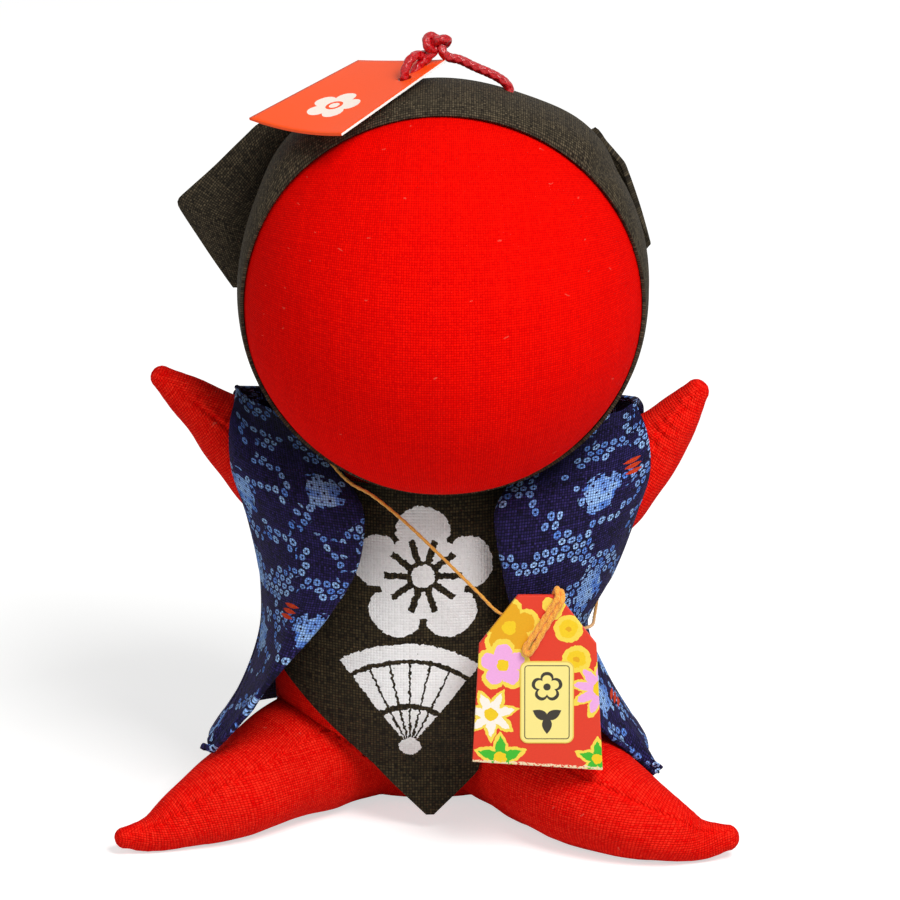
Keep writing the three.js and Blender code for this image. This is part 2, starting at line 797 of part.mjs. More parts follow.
const loopFace = -amuletCard - clearance - loopThread / 2;
const loopTop = new THREE.Vector3(loopTopAcross, loopFace, -loopTopDrop);
const loopEnd = new THREE.Vector3(loopEndAcross, loopFace, -loopEndDrop);
const loopAlong = loopEnd.clone().sub(loopTop).normalize();
const strandGap = 0.35;
const loopHalf = (loopThread + strandGap) / 2;
const loopSide = new THREE.Vector3(-loopAlong.z, 0, loopAlong.x).multiplyScalar(-loopHalf);
const loopStep = 0.8;
const loopRoute = [
  loopTop.clone().sub(loopSide),
  loopTop.clone().lerp(loopEnd, 0.5).sub(loopSide),
  loopEnd.clone().sub(loopSide),
  loopEnd.clone().addScaledVector(loopAlong, loopHalf),
  loopEnd.clone().add(loopSide),
  loopTop.clone().lerp(loopEnd, 0.5).add(loopSide),
  loopTop.clone().add(loopSide),
].map((p) => [p.x, p.y, p.z]);
hangOn(amulet, "amulet_loop", cordBody(loopRoute, loopThread, loopStep), "gold");

// Hang cord with its knot
const hanger = new THREE.Group();
hanger.position.copy(crown);
doll.add(hanger);
const cordBendStep = 0.8;
const knotSides = 12;
const knotRings = 8;
const knot = new THREE.SphereGeometry(knotRadius, knotSides, knotRings).translate(...knotCentre.toArray());
hangOn(hanger, "hang_knot", knot, "cord");
hangOn(hanger, "hang_cord_exit", cordBody(cordToExit, cordDiameter, cordBendStep), "cord");
hangOn(hanger, "hang_cord_tag", cordBody(cordThroughTag, cordDiameter, cordBendStep), "cord");

// Tag, lying on the crown with the cord through its hole
const tagShape = new THREE.Shape([
  new THREE.Vector2(-tagWidth / 2, -tagLength / 2),
  new THREE.Vector2(tagWidth / 2, -tagLength / 2),
  new THREE.Vector2(tagWidth / 2, tagLength / 2),
  new THREE.Vector2(-tagWidth / 2, tagLength / 2),
]);
const tagHole = new THREE.Path();
tagHole.absarc(tagHoleAcross, tagHoleAlong, tagHoleRadius, 0, Math.PI * 2, true);
tagShape.holes.push(tagHole);
const holeSides = 12;
const tagPlate = new THREE.ExtrudeGeometry(tagShape, {
  depth: tagCard,
  bevelEnabled: false,
  curveSegments: holeSides,
});
const tagAlong = new THREE.Vector3().crossVectors(tagNormal, tagAcross).normalize();
const tagSide = new THREE.Vector3().crossVectors(tagAlong, tagNormal).normalize();
const tagTurn = new THREE.Matrix4().makeBasis(tagSide, tagAlong, tagNormal.clone().normalize());
const tag = new THREE.Group();
tag.position.copy(tagCentre);
tag.setRotationFromMatrix(tagTurn);
hanger.add(tag);
hangOn(tag, "tag", tagPlate, "card");

// The ground point under the middle of the seated doll is the origin
doll.position.copy(groundMiddle).negate();

export default doll;
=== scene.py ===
import math

import bmesh
import bpy
import numpy as np
from mathutils import Matrix, Vector, noise
from mathutils.bvhtree import BVHTree


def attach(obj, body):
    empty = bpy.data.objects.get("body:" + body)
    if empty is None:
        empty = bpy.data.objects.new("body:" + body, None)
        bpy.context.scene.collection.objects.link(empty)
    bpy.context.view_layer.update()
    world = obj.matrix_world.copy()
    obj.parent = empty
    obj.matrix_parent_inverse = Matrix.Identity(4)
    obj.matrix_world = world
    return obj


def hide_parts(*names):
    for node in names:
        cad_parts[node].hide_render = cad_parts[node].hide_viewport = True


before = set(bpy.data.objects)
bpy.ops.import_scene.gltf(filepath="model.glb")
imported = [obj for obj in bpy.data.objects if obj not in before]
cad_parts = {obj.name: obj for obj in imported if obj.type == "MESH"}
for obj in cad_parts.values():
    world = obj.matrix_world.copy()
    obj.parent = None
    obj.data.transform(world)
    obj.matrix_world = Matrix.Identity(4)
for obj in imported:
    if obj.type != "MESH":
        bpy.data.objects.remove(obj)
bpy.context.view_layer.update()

# The imported solids give the doll's parts, which are hidden below where pieces replace them.
MM = 0.001
DRAWING_SHIFT = np.array([0.05, 6.45, 0.0])
bpy.ops.object.select_all(action="DESELECT")


def at(points):
    """Places in the drawing's millimetres, in the frame's metres."""
    return (np.asarray(points, float) + DRAWING_SHIFT) * MM


# Camera: a long lens a little above the doll, square on to its face, as the picture was taken. What
# it sees at the doll is 135 mm wide.
VIEW_RISE = math.radians(20.8)
VIEW_DISTANCE = 1.8
FRAME_WIDTH = 0.135
AIM = Vector(at((3.45, -8.0, 61.75)))
to_camera = Vector((0, -math.cos(VIEW_RISE), math.sin(VIEW_RISE)))
camera = bpy.data.objects.new("camera", bpy.data.cameras.new("camera"))
camera.data.lens = camera.data.sensor_width * VIEW_DISTANCE / FRAME_WIDTH
camera.location = AIM + to_camera * VIEW_DISTANCE
camera.rotation_euler = to_camera.to_track_quat("Z", "Y").to_euler()
bpy.context.scene.collection.objects.link(camera)
bpy.context.scene.camera = camera
bpy.context.scene.view_settings.view_transform = "Standard"


# Floor: a pale painted table top with the doll's shadow on it. It glows only for the camera and in
# gloss, so that it shows white and sends no more light to the doll.
FLOOR_SIZE, FLOOR_DROP = 2.4, 0.0002
FLOOR_GLOW = 0.60


def colour(code):
    """A colour from its sRGB hex code."""
    parts = [int(code[i:i + 2], 16) / 255 for i in (0, 2, 4)]
    return (*[c / 12.92 if c <= 0.04045 else ((c + 0.055) / 1.055) ** 2.4 for c in parts], 1)


def finish(name):
    """A new material with an empty node tree."""
    material = bpy.data.materials.new(name)
    material.use_nodes = True
    material.node_tree.nodes.clear()
    return material, material.node_tree


def add(tree, kind, *inputs, out=0, **settings):
    """Adds a node with its settings; its inputs come in order, or by name or number in a dictionary."""
    made = tree.nodes.new("ShaderNode" + kind)
    for key, value in settings.items():
        setattr(made, key, value)
    places = inputs[0] if inputs and isinstance(inputs[0], dict) else dict(enumerate(inputs))
    for key, value in places.items():
        if isinstance(value, bpy.types.NodeSocket):
            tree.links.new(value, made.inputs[key])
        elif value is not None:
            made.inputs[key].default_value = value
    return made.outputs[out] if made.outputs else made


def seen_directly(tree):
    """Gives 1 to the camera's rays and to those in gloss and glass, and 0 to the light on the doll."""
    seen = add(tree, "LightPath")
    gloss = add(tree, "Math", seen, seen.node.outputs["Is Glossy Ray"], operation="MAXIMUM")
    return add(tree, "Math", gloss, seen.node.outputs["Is Transmission Ray"], operation="MAXIMUM")


bpy.ops.mesh.primitive_plane_add(size=FLOOR_SIZE, location=(0, 0, -FLOOR_DROP))
floor = bpy.context.object
floor.name = "floor"
painted_board, tree = finish("painted board")
lift = add(tree, "Math", seen_directly(tree), FLOOR_GLOW, operation="MULTIPLY")
board = add(tree, "BsdfDiffuse", colour("DADAD8"))
glow = add(tree, "Emission", colour("FFFFFF"), lift)
add(tree, "OutputMaterial", add(tree, "AddShader", board, glow))
floor.data.materials.append(painted_board)


# Light: a soft lamp high on the right, a weaker one on the left, and a pale room. The room is white
# where the camera sees it, and gives the doll a weaker light from all sides.
ROOM_LIGHT = 0.28
world = bpy.data.worlds.new("room")
world.use_nodes = True
tree = world.node_tree
tree.nodes.clear()
level = add(tree, "Mix", {0: seen_directly(tree), 2: ROOM_LIGHT, 3: 1.0}, data_type="FLOAT")
add(tree, "OutputWorld", add(tree, "Background", colour("FFFFFF"), level))
bpy.context.scene.world = world
lamps = {
    "key lamp": {"way": (0.40, -0.58, 0.88), "away": 0.8, "size": 0.34, "level": 0.95},
    "fill lamp": {"way": (-0.75, -0.6, 0.35), "away": 0.95, "size": 0.6, "level": 0.10},
}
for name, lamp in lamps.items():
    light = bpy.data.lights.new(name, "AREA")
    light.size = lamp["size"]
    light.energy = lamp["level"] * (math.pi * lamp["away"]) ** 2
    shone = bpy.data.objects.new(name, light)
    way = Vector(lamp["way"]).normalized()
    shone.location = AIM + way * lamp["away"]
    shone.rotation_euler = way.to_track_quat("Z", "Y").to_euler()
    bpy.context.scene.collection.objects.link(shone)


# Hang cord: one length of shiny red braid that comes out of the crown, is tied in an overhand knot,
# goes through the tag's slit and ends back in the knot. Its knot turns come from a formula.
HEAD_RADIUS = 30.3
HEAD_CENTRE = np.array([2.4, -8.0, 87.0])
HOOD_OUT = 1.8
CROWN = HEAD_CENTRE + (0, 0, HEAD_RADIUS + HOOD_OUT)
CORD_DIAMETER, CORD_SIDES = 1.35, 28
CORD_STEP, CORD_ROUNDS = 0.09, 60


def smooth(points, t):
    """The point at t, from 0 to 1, of the smooth curve through the points, as the solids draw it."""
    place = min(max(t, 0.0), 1.0) * (len(points) - 1)
    i = min(int(place), len(points) - 2)
    w = place - i
    p1, p2 = points[i], points[i + 1]
    p0 = points[i - 1] if i else 2 * p1 - p2
    p3 = points[i + 2] if i + 2 < len(points) else 2 * p2 - p1
    d0, d1, d2 = (max(np.linalg.norm(b - a), 1e-8) ** 0.5 for a, b in ((p0, p1), (p1, p2), (p2, p3)))
    m1 = ((p1 - p0) / d0 - (p2 - p0) / (d0 + d1) + (p2 - p1) / d1) * d1
    m2 = ((p2 - p1) / d1 - (p3 - p1) / (d1 + d2) + (p3 - p2) / d2) * d1
    start = ((2 * w - 3) * w * w + 1) * p1 + ((w - 2) * w + 1) * w * m1
    return start + (3 - 2 * w) * w * w * p2 + (w - 1) * w * w * m2


def even(points, step):
    """The smooth curve through the points, cut into even steps of about that length."""
    points = np.asarray(points, float)
    fine = np.array([smooth(points, t) for t in np.linspace(0, 1, len(points) * 24)])
    run = np.concatenate([[0], np.cumsum(np.linalg.norm(np.diff(fine, axis=0), axis=1))])
    places = np.linspace(0, run[-1], max(int(round(run[-1] / step)), 4) + 1)
    return np.stack([np.interp(places, run, fine[:, k]) for k in range(3)], axis=1)


def mesh_object(name, points, faces, corner_uv=None):
    """A mesh object from points in metres, with its place in its mesh."""
    mesh = bpy.data.meshes.new(name)
    mesh.from_pydata([tuple(p) for p in points], [], faces)
    if corner_uv is not None:
        mesh.uv_layers.new(name="cloth").data.foreach_set("uv", np.asarray(corner_uv, float).ravel())
    mesh.polygons.foreach_set("use_smooth", [True] * len(mesh.polygons))
    mesh.update()
    made = bpy.data.objects.new(name, mesh)
    bpy.context.scene.collection.objects.link(made)
    return made


def cord_mesh(name, line, diameter, sides, relief):
    """A closed tube along the line, in millimetres; relief(turn, run) lifts its surface."""
    count = len(line)
    along = np.gradient(line, axis=0)
    along /= np.linalg.norm(along, axis=1)[:, None]
    across = np.cross(along[0], (0.3, 0.5, 0.81))
    points, run = [], 0.0
    for i in range(count):
        across = across - along[i] * across.dot(along[i])
        across /= np.linalg.norm(across)
        other = np.cross(along[i], across)
        run += np.linalg.norm(line[i] - line[i - 1]) if i else 0.0
        for k in range(sides):
            turn = 2 * math.pi * k / sides
            radius = diameter / 2 + relief(turn, run)
            points.append(line[i] + radius * (math.cos(turn) * across + math.sin(turn) * other))
    faces, corners = [], []
    step = np.linalg.norm(np.diff(line, axis=0), axis=1).mean() * MM
    for i in range(count - 1):
        for k in range(sides):
            n = (k + 1) % sides
            faces.append((i * sides + k, i * sides + n, (i + 1) * sides + n, (i + 1) * sides + k))
            u, w = k / sides, (k + 1) / sides
            corners += [(u, i * step), (w, i * step), (w, (i + 1) * step), (u, (i + 1) * step)]
    for first, turn in ((0, -1), ((count - 1) * sides, 1)):
        ring = [first + k for k in range(sides)][::turn]
        faces.append(tuple(ring))
        corners += [(0, first / sides * step)] * sides
    return mesh_object(name, at(points), faces, corners)


KNOT_SIZE, KNOT_DEEP = 0.60, 0.88
KNOT_POINTS, KNOT_OPEN = 30, 0.62
knot_centre = CROWN + (-0.9, 6.4, 4.6)
cord_to_crown = CROWN + np.array([
    [0.9, 5.6, 2.9], [2.3, 5.9, 2.6], [4.6, 5.7, 1.5], [7.2, 5.2, 0.5], [9.0, 4.9, -0.5], [9.8, 4.8, -1.4],
    [10.0, 4.8, -2.3]])
cord_to_slit = CROWN + np.array([
    [-2.1, 7.1, 2.9], [-3.2, 6.0, 3.2], [-4.3, 4.7, 3.5], [-5.2, 3.6, 2.8], [-5.7, 2.9, 1.5],
    [-5.8, 2.7, 0.5]])
cord_back = CROWN + np.array([
    [-5.5, 3.1, -0.3], [-4.8, 4.1, -0.3], [-4.4, 4.6, 0.7], [-3.5, 5.3, 1.9], [-2.2, 5.8, 2.9],
    [-1.0, 6.1, 4.2]])


def knot_turn(t):
    """A point of an overhand knot: a trefoil whose lowest lobe is open, for the two strands."""
    x = math.sin(t) + 2 * math.sin(2 * t)
    z = math.cos(t) - 2 * math.cos(2 * t)
    return np.array([x * KNOT_SIZE, math.sin(3 * t) * KNOT_DEEP, z * KNOT_SIZE])


turns = np.linspace(math.pi + KNOT_OPEN, 3 * math.pi - KNOT_OPEN, KNOT_POINTS)
knot = [knot_centre + knot_turn(t) for t in turns]


def eased(line, rounds):
    """The same line with its kinks smoothed out; its ends stay."""
    for _ in range(rounds):
        line[1:-1] = (line[:-2] + 2 * line[1:-1] + line[2:]) / 4
    return line


cord_route = [*cord_to_crown[::-1], *knot, *cord_to_slit, *cord_back]
cord_line = eased(even(cord_route, CORD_STEP), CORD_ROUNDS)
BRAID_PITCH, BRAID_PLAITS = 1.5, 3
BRAID_LEAN = 2 * math.pi / BRAID_PITCH
BRAID_RISE, BRAID_GAP = 0.09, 0.04


def braid(turn, run):
    """The plaits of the braid, which lean to both sides and cross."""
    left = math.sin(BRAID_PLAITS * turn + BRAID_LEAN * run)
    right = math.sin(BRAID_PLAITS * turn - BRAID_LEAN * run)
    return BRAID_RISE * max(left, right) - BRAID_GAP


hang_cord = cord_mesh("hang_cord", cord_line, CORD_DIAMETER, CORD_SIDES, braid)

# Rayon braid: bright red filaments that lie along the plaits and give pink glints.
rayon_braid, tree = finish("rayon braid")
place = add(tree, "UVMap", uv_map="cloth")
flat = add(tree, "Mapping", {"Vector": place, "Scale": (12, 9000, 1)})
strands = add(tree, "TexNoise", {"Vector": flat, "Scale": 1.0, "Detail": 3.0})
shade = add(tree, "ValToRGB", strands)
ramp = shade.node.color_ramp.elements
ramp[0].position, ramp[0].color = 0.34, colour("7A0008")
ramp[1].position, ramp[1].color = 0.66, colour("D80A16")
ridge = add(tree, "Bump", {"Strength": 0.5, "Distance": 0.00006, "Height": strands})
silky = add(tree, "BsdfPrincipled", {
    "Base Color": shade, "Roughness": 0.3, "Normal": ridge, "Specular IOR Level": 0.35,
    "Coat Weight": 0.12, "Coat Roughness": 0.1,
})
add(tree, "OutputMaterial", silky)
hang_cord.data.materials.append(rayon_braid)


# Neck thread: fine gold two-ply polyester worn across the body, which carries the amulet. It runs
# over one shoulder, under the amulet, round the other side and back to a tie behind.
THREAD_DIAMETER, THREAD_SIDES, THREAD_STEP = 0.5, 10, 0.16
NECK_ROUTE = [
    [3.1, 19.3, 47.2], [2.3, 18.9, 49.4], [0.9, 17.9, 51.2], [-4, 16.8, 56], [-9.4, 14.8, 62.4],
    [-11.9, 12.6, 64.7], [-15.2, 7.4, 65.3],
    [-17.6, 2.6, 64.4], [-17.8, -1.6, 63.2], [-14.1, -9, 59.7], [-11.4, -13.2, 58.4], [-8.2, -16.2, 57.6],
    [-3.5, -17.4, 54], [2.1, -17.9, 48.5], [7.7, -18.1, 42.7], [11, -18.2, 39.4], [16.8, -17.9, 37.2],
    [21.6, -15.3, 35.9], [23.6, -12, 34.6], [24.9, -7.6, 33.4], [25.3, -2.4, 32.8], [25.7, 2.5, 33.2],
    [26, 7.7, 34.5], [25.1, 11.4, 35.8], [22.2, 14.9, 38.4], [17.8, 17.2, 41.2], [9.6, 18.3, 45],
    [3.4, 18.2, 49.1], [1.5, 18.4, 50.4], [0.3, 19.2, 49.6], [-0.5, 19.4, 47.6],
]
PLY_LAY, PLY_RISE, PLY_GAP = 3.0, 0.07, 0.05


def plies(turn, run):
    """Two plies that turn round each other once in each length of lay."""
    return PLY_RISE * abs(math.cos(turn + 2 * math.pi * run / PLY_LAY)) - PLY_GAP


thread_line = even(NECK_ROUTE, THREAD_STEP)
neck_thread = cord_mesh("neck_thread_worn", thread_line, THREAD_DIAMETER, THREAD_SIDES, plies)


def thread_finish(name, dark, light, roughness):
    """Spun thread: fine fibres that run with its twist, with painted highlight streaks in its colour where
    they catch the light.
    """
    material, tree = finish(name)
    place = add(tree, "UVMap", uv_map="cloth")
    flat = add(tree, "Mapping", {"Vector": place, "Rotation": (0, 0, 0.4), "Scale": (14, 5000, 1)})
    fibres = add(tree, "TexNoise", {"Vector": flat, "Scale": 1.0, "Detail": 4.0})
    # The lighter colour of the ramp is a painted highlight along the streaks.
    shade = add(tree, "ValToRGB", fibres)
    ramp = shade.node.color_ramp.elements
    ramp[0].position, ramp[0].color = 0.32, colour(dark)
    ramp[1].position, ramp[1].color = 0.66, colour(light)
    ridge = add(tree, "Bump", {"Strength": 0.6, "Distance": 0.00005, "Height": fibres})
    spun = add(tree, "BsdfPrincipled", {
        "Base Color": shade, "Roughness": roughness, "Normal": ridge, "Sheen Weight": 0.3,
    })
    add(tree, "OutputMaterial", spun)
    return material


gold_thread = thread_finish("polyester thread", "B86A10", "F6B43C", 0.45)
neck_thread.data.materials.append(gold_thread)
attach(neck_thread, "doll")
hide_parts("neck_thread")
tuple(at(NECK_ROUTE[0]))
[tuple(p) for p in at(thread_line[::3])]


# Head: red cotton drawn tight over a ball of wadding, blank, with the grain level across its front.
# Its open edge is gathered under the hood, so only the smooth dome shows.
HEAD_SIDES, HEAD_RINGS = 96, 72
HEAD_LUMP, HEAD_LUMP_BASE = 0.22, 0.1
FACE_MIDDLE = 0.2


def shaken(tree, place, scale, detail, reach):
    """The place moved by noise, up to about half the reach, so that threads wander and ink is rough."""
    shake = add(tree, "TexNoise", {"Vector": place, "Scale": scale, "Detail": detail}, out="Color")
    shake = add(tree, "VectorMath", shake, (0.5, 0.5, 0.5), operation="SUBTRACT")
    shake = add(tree, "VectorMath", {0: shake, "Scale": reach}, operation="SCALE")
    return add(tree, "VectorMath", place, shake, operation="ADD")


def weave(tree, cloth, pitch):
    """The height of a plain weave, its threads at their real pitch, and a chance shade for each thread."""
    moved = shaken(tree, cloth, 420.0, 2.0, 0.2 * MM)
    threads = add(tree, "VectorMath", {0: moved, "Scale": 1 / (pitch * MM)}, operation="SCALE")
    whole = add(tree, "VectorMath", threads, operation="FLOOR")
    part = add(tree, "VectorMath", threads, whole, operation="SUBTRACT")
    part_x = add(tree, "SeparateXYZ", part)
    part_y = part_x.node.outputs["Y"]
    whole_x = add(tree, "SeparateXYZ", whole)
    whole_y = whole_x.node.outputs["Y"]
    humps = []
    for place in (part_x, part_y):
        angle = add(tree, "Math", place, math.pi, operation="MULTIPLY")
        hump = add(tree, "Math", angle, operation="SINE")
        round_top = add(tree, "Math", hump, 0.75, operation="POWER")
        flat_top = add(tree, "Math", hump, 0.35, operation="POWER")
        humps.append((round_top, flat_top))
    (warp_round, warp_flat), (weft_round, weft_flat) = humps
    warp = add(tree, "Math", warp_round, weft_flat, operation="MULTIPLY")
    weft = add(tree, "Math", weft_round, warp_flat, operation="MULTIPLY")
    both = add(tree, "Math", whole_x, whole_y, operation="ADD")
    over = add(tree, "Math", both, 2.0, operation="FLOORED_MODULO")
    height = add(tree, "Mix", {0: over, 2: warp, 3: weft}, data_type="FLOAT")
    weft_number = add(tree, "Math", whole_y, 911.0, operation="ADD")
    number = add(tree, "Mix", {0: over, 2: whole_x, 3: weft_number}, data_type="FLOAT")
    chance = add(tree, "TexWhiteNoise", {"W": number}, noise_dimensions="1D")
    each = add(tree, "TexWhiteNoise", {"Vector": whole}, noise_dimensions="2D")
    chance = add(tree, "Mix", {0: 0.6, 2: chance, 3: each}, data_type="FLOAT")
    return height, chance


def cotton(name, base, crown_highlight, pitch, relief, depth, blotch, slub=0.24, gloss=0.15, print_over=None):
    """Plain woven cotton, matt: one colour in its gaps and a lighter one on its crowns as a painted
    highlight, dyed a little unevenly.

    Pitch and relief are the spacing and height of its threads in millimetres. Depth is how much painted shade
    darkens its gaps and painted light lifts its crowns; blotch and slub are how much its dye and its single
    threads change its shade.
    """
    material, tree = finish(name)
    cloth = add(tree, "UVMap", uv_map="cloth")
    height, chance = weave(tree, cloth, pitch)
    # Painted highlight: the crowns of the threads take the lighter crown colour, by their height.
    crown_highlight_share = add(tree, "Math", height, chance, operation="MULTIPLY")
    dye_and_highlight = add(tree, "Mix", {0: crown_highlight_share, 6: colour(base), 7: colour(crown_highlight)}, data_type="RGBA", out=2)
    # Painted shade: the colour is darker in the gaps between threads and lighter on their crowns, as much as
    # the depth says.
    painted_weave_shade = add(tree, "Math", height, depth, 1 - depth * 0.72, operation="MULTIPLY_ADD")
    threads = add(tree, "Math", chance, slub, 1 - slub / 2, operation="MULTIPLY_ADD")
    if print_over:
        dye_and_highlight, cover = print_over(tree, cloth, dye_and_highlight, height)
        painted_weave_shade = add(tree, "Mix", {0: cover, 2: painted_weave_shade, 3: 1.0}, data_type="FLOAT")
    uneven = add(tree, "TexNoise", {"Vector": cloth, "Scale": 110.0, "Detail": 4.0})
    uneven = add(tree, "Math", uneven, 2 * blotch, 1 - blotch, operation="MULTIPLY_ADD")
    # The shade is the painted weave shade, times the random tone of single threads and of the dye.
    shade = add(tree, "Math", painted_weave_shade, threads, operation="MULTIPLY")
    shade = add(tree, "Math", shade, uneven, operation="MULTIPLY")
    dyed = add(tree, "VectorMath", {0: dye_and_highlight, "Scale": shade}, operation="SCALE")
    ridge = add(tree, "Bump", {"Strength": 1.0, "Distance": relief * MM, "Height": height})
    fabric = add(tree, "BsdfPrincipled", {
        "Base Color": dyed, "Roughness": 0.85, "Normal": ridge, "Specular IOR Level": gloss,
    })
    add(tree, "OutputMaterial", fabric)
    return material


def lint(tree, cloth, dye_and_highlight, height):
    """Here and there a speck of pale lint lies on the cloth, in about one field of 5 mm out of ten."""
    bent = add(tree, "TexNoise", {"Vector": cloth, "Scale": 700.0, "Detail": 1.0}, out="Color")
    bent = add(tree, "VectorMath", {0: bent, "Scale": 0.0016}, operation="SCALE")
    moved = add(tree, "VectorMath", cloth, bent, operation="ADD")
    stretched = add(tree, "Mapping", {"Vector": moved, "Scale": (1.0, 2.6, 1.0)})
    specks = add(tree, "TexVoronoi", {"Vector": stretched, "Scale": 190.0}, voronoi_dimensions="2D")
    near = add(tree, "Math", specks, 0.055, operation="LESS_THAN")
    picked = add(tree, "SeparateColor", specks.node.outputs["Color"])
    rare = add(tree, "Math", picked, 0.90, operation="GREATER_THAN")
    speck = add(tree, "Math", near, rare, operation="MULTIPLY")
    amount = add(tree, "Math", speck, 0.2, operation="MULTIPLY")
    return add(tree, "Mix", {0: amount, 6: dye_and_highlight, 7: colour("FF9A80")}, data_type="RGBA", out=2), amount


face_cotton = cotton(
    "face cotton", "E20200", "FF1003", pitch=0.40, relief=0.05, depth=0.26, blotch=0.04, slub=0.06,
    gloss=0.03, print_over=lint)


def closed_rings(name, rings, start, end, measure):
    """A closed body of rings between two end points; measure(ring, side) is the cloth's own place there."""
    count, sides = len(rings), len(rings[0])
    points = [start, *[p for ring in rings for p in ring], end]
    last = 1 + (count - 1) * sides
    faces, corners = [], []
    for k in range(sides):
        n = (k + 1) % sides
        faces.append((0, 1 + n, 1 + k))
        corners += [measure(-1, k + 0.5), measure(0, k + 1), measure(0, k)]
        for r in range(count - 1):
            a, b = 1 + r * sides, 1 + (r + 1) * sides
            faces.append((a + k, a + n, b + n, b + k))
            corners += [measure(r, k), measure(r, k + 1), measure(r + 1, k + 1), measure(r + 1, k)]
        faces.append((last + k, last + n, len(points) - 1))
        corners += [measure(count - 1, k), measure(count - 1, k + 1), measure(count, k + 0.5)]
    made = mesh_object(name, at(points), faces, corners)
    shell = bmesh.new()
    shell.from_mesh(made.data)
    if shell.calc_volume(signed=True) < 0:
        bmesh.ops.reverse_faces(shell, faces=shell.faces)
        shell.to_mesh(made.data)
    shell.free()
    return made


def face_measure(ring, side):
    """The flat cloth's measure, which spreads from the middle of the face."""
    run = math.pi * (ring + 1) / HEAD_RINGS * HEAD_RADIUS * MM
    turn = 2 * math.pi * side / HEAD_SIDES
    return FACE_MIDDLE + run * math.cos(turn), FACE_MIDDLE + run * math.sin(turn)


rings = []
for tilt in np.linspace(0, math.pi, HEAD_RINGS + 1)[1:-1]:
    ring = []
    for turn in np.linspace(0, 2 * math.pi, HEAD_SIDES, endpoint=False):
        way = np.array([math.cos(turn) * math.sin(tilt), -math.cos(tilt), math.sin(turn) * math.sin(tilt)])
        lump = noise.noise(Vector(way * 2.1)) * HEAD_LUMP - HEAD_LUMP_BASE
        ring.append(HEAD_CENTRE + way * (HEAD_RADIUS + lump))
    rings.append(ring)
poles = (0, HEAD_RADIUS - HEAD_LUMP_BASE, 0)
head = closed_rings("head", rings, HEAD_CENTRE - poles, HEAD_CENTRE + poles, face_measure)
head.data.materials.append(face_cotton)
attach(head, "doll")
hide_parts("face_cloth", "head_filling")


# Torso: a red cotton bag packed with wadding, flat under the seat and drawn in at the neck. Most of
# it is under the coat and the apron. A row gives its height, its middle's depth and two half widths.
TORSO = [
    [4, 12, 16.5, 10.5], [11, 8, 22, 14.6], [20, 5.4, 23.2, 16.2], [30, 4, 22.6, 15],
    [40, 3.5, 22, 13.8], [50, 3, 20.5, 12.4], [58, 3, 16, 9.6], [66, 3, 11, 7],
]
SEAT_GAP = 0.15
SEAT_ROUND = ((0.55, SEAT_GAP), (0.80, 0.6), (0.93, 1.9))
TORSO_SIDES, TORSO_RINGS = 72, 56
TORSO_LUMP = 0.5
CUT_FROM = 0.1
torso_middle = np.array([[0, s[1], s[0]] for s in TORSO], float)
torso_half = np.array([[s[2], s[3], 0] for s in TORSO], float)
rings = []
lowest = smooth(torso_half, 0)
for size, rise in SEAT_ROUND:
    middle = smooth(torso_middle, 0)
    rings.append([(math.cos(a) * lowest[0] * size, middle[1] + math.sin(a) * lowest[1] * size, rise)
                  for a in np.linspace(0, 2 * math.pi, TORSO_SIDES, endpoint=False)])
for t in np.linspace(0, 1, TORSO_RINGS):
    middle, half = smooth(torso_middle, t), smooth(torso_half, t)
    ring = []
    for a in np.linspace(0, 2 * math.pi, TORSO_SIDES, endpoint=False):
        lump = noise.noise(Vector((math.cos(a) * 1.6, math.sin(a) * 1.6, middle[2] * 0.09))) * TORSO_LUMP
        ring.append((math.cos(a) * (half[0] + lump), middle[1] + math.sin(a) * (half[1] + lump), middle[2]))
    rings.append(ring)
seat = (0, TORSO[0][1], SEAT_GAP)
neck = smooth(torso_middle, 1)


def torso_measure(ring, side):
    """The flat cloth's measure: round the torso, taken as 20 mm in radius, and up it."""
    height = rings[min(max(ring, 0), len(rings) - 1)][0][2]
    return CUT_FROM + 0.02 * 2 * math.pi * side / TORSO_SIDES, CUT_FROM + height * MM


torso = closed_rings("torso", rings, seat, neck, torso_measure)
limb_cotton = cotton(
    "limb cotton", "F20200", "FF3420", pitch=0.40, relief=0.10, depth=0.34, blotch=0.08, slub=0.14,
    gloss=0.05, print_over=lint)
torso.data.materials.append(limb_cotton)
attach(torso, "doll")
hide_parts("torso_cloth", "torso_filling")


# Arms and legs: each is two tapered pieces of cotton sewn edge to edge, turned and packed, with a
# puckered seam along its front and another behind, and a blunt tip. A section gives a limb's middle and
# its radius there, and the seam is an angle round it.
LIMBS = {
    "left_leg": {"seam": 135, "sections": [
        [-8, 10.4, 10.1, 10.6], [-12, 7.2, 9.5, 10], [-17.5, 2.3, 9, 9.5], [-23.5, -3.1, 7.9, 8.4],
        [-29.5, -9, 6.5, 7], [-35.5, -12.4, 4.6, 5.1], [-41.2, -15.1, 2.5, 3], [-45.6, -16.8, 2.5, 1.7]]},
    "right_leg": {"seam": 46, "sections": [
        [8, 11.6, 10.2, 10.7], [11.7, 6.3, 9.8, 10.3], [17.5, -2.8, 9.4, 9.9], [23, -11, 8.5, 9],
        [29, -16.2, 6.9, 7.4], [35, -18.6, 4.9, 5.4], [40.6, -18.6, 2.9, 3.4], [45.2, -18.4, 3.1, 2]]},
    "left_arm": {"seam": 164, "sections": [
        [-12, 3, 46, 9.5], [-20, 3, 52.6, 8.2], [-26, 3, 57.6, 6.7], [-31.8, 3, 62.6, 4.7],
        [-36.6, 3, 66.6, 3], [-39.9, 3, 69.3, 1.8]]},
    "right_arm": {"seam": 16, "sections": [
        [12, 3, 43, 9.5], [21, 3, 48, 8.6], [28, 3, 52.8, 7.3], [34.3, 3, 58.8, 5],
        [38, 3, 63.4, 3.3], [40.6, 3, 67, 1.9]]},
}
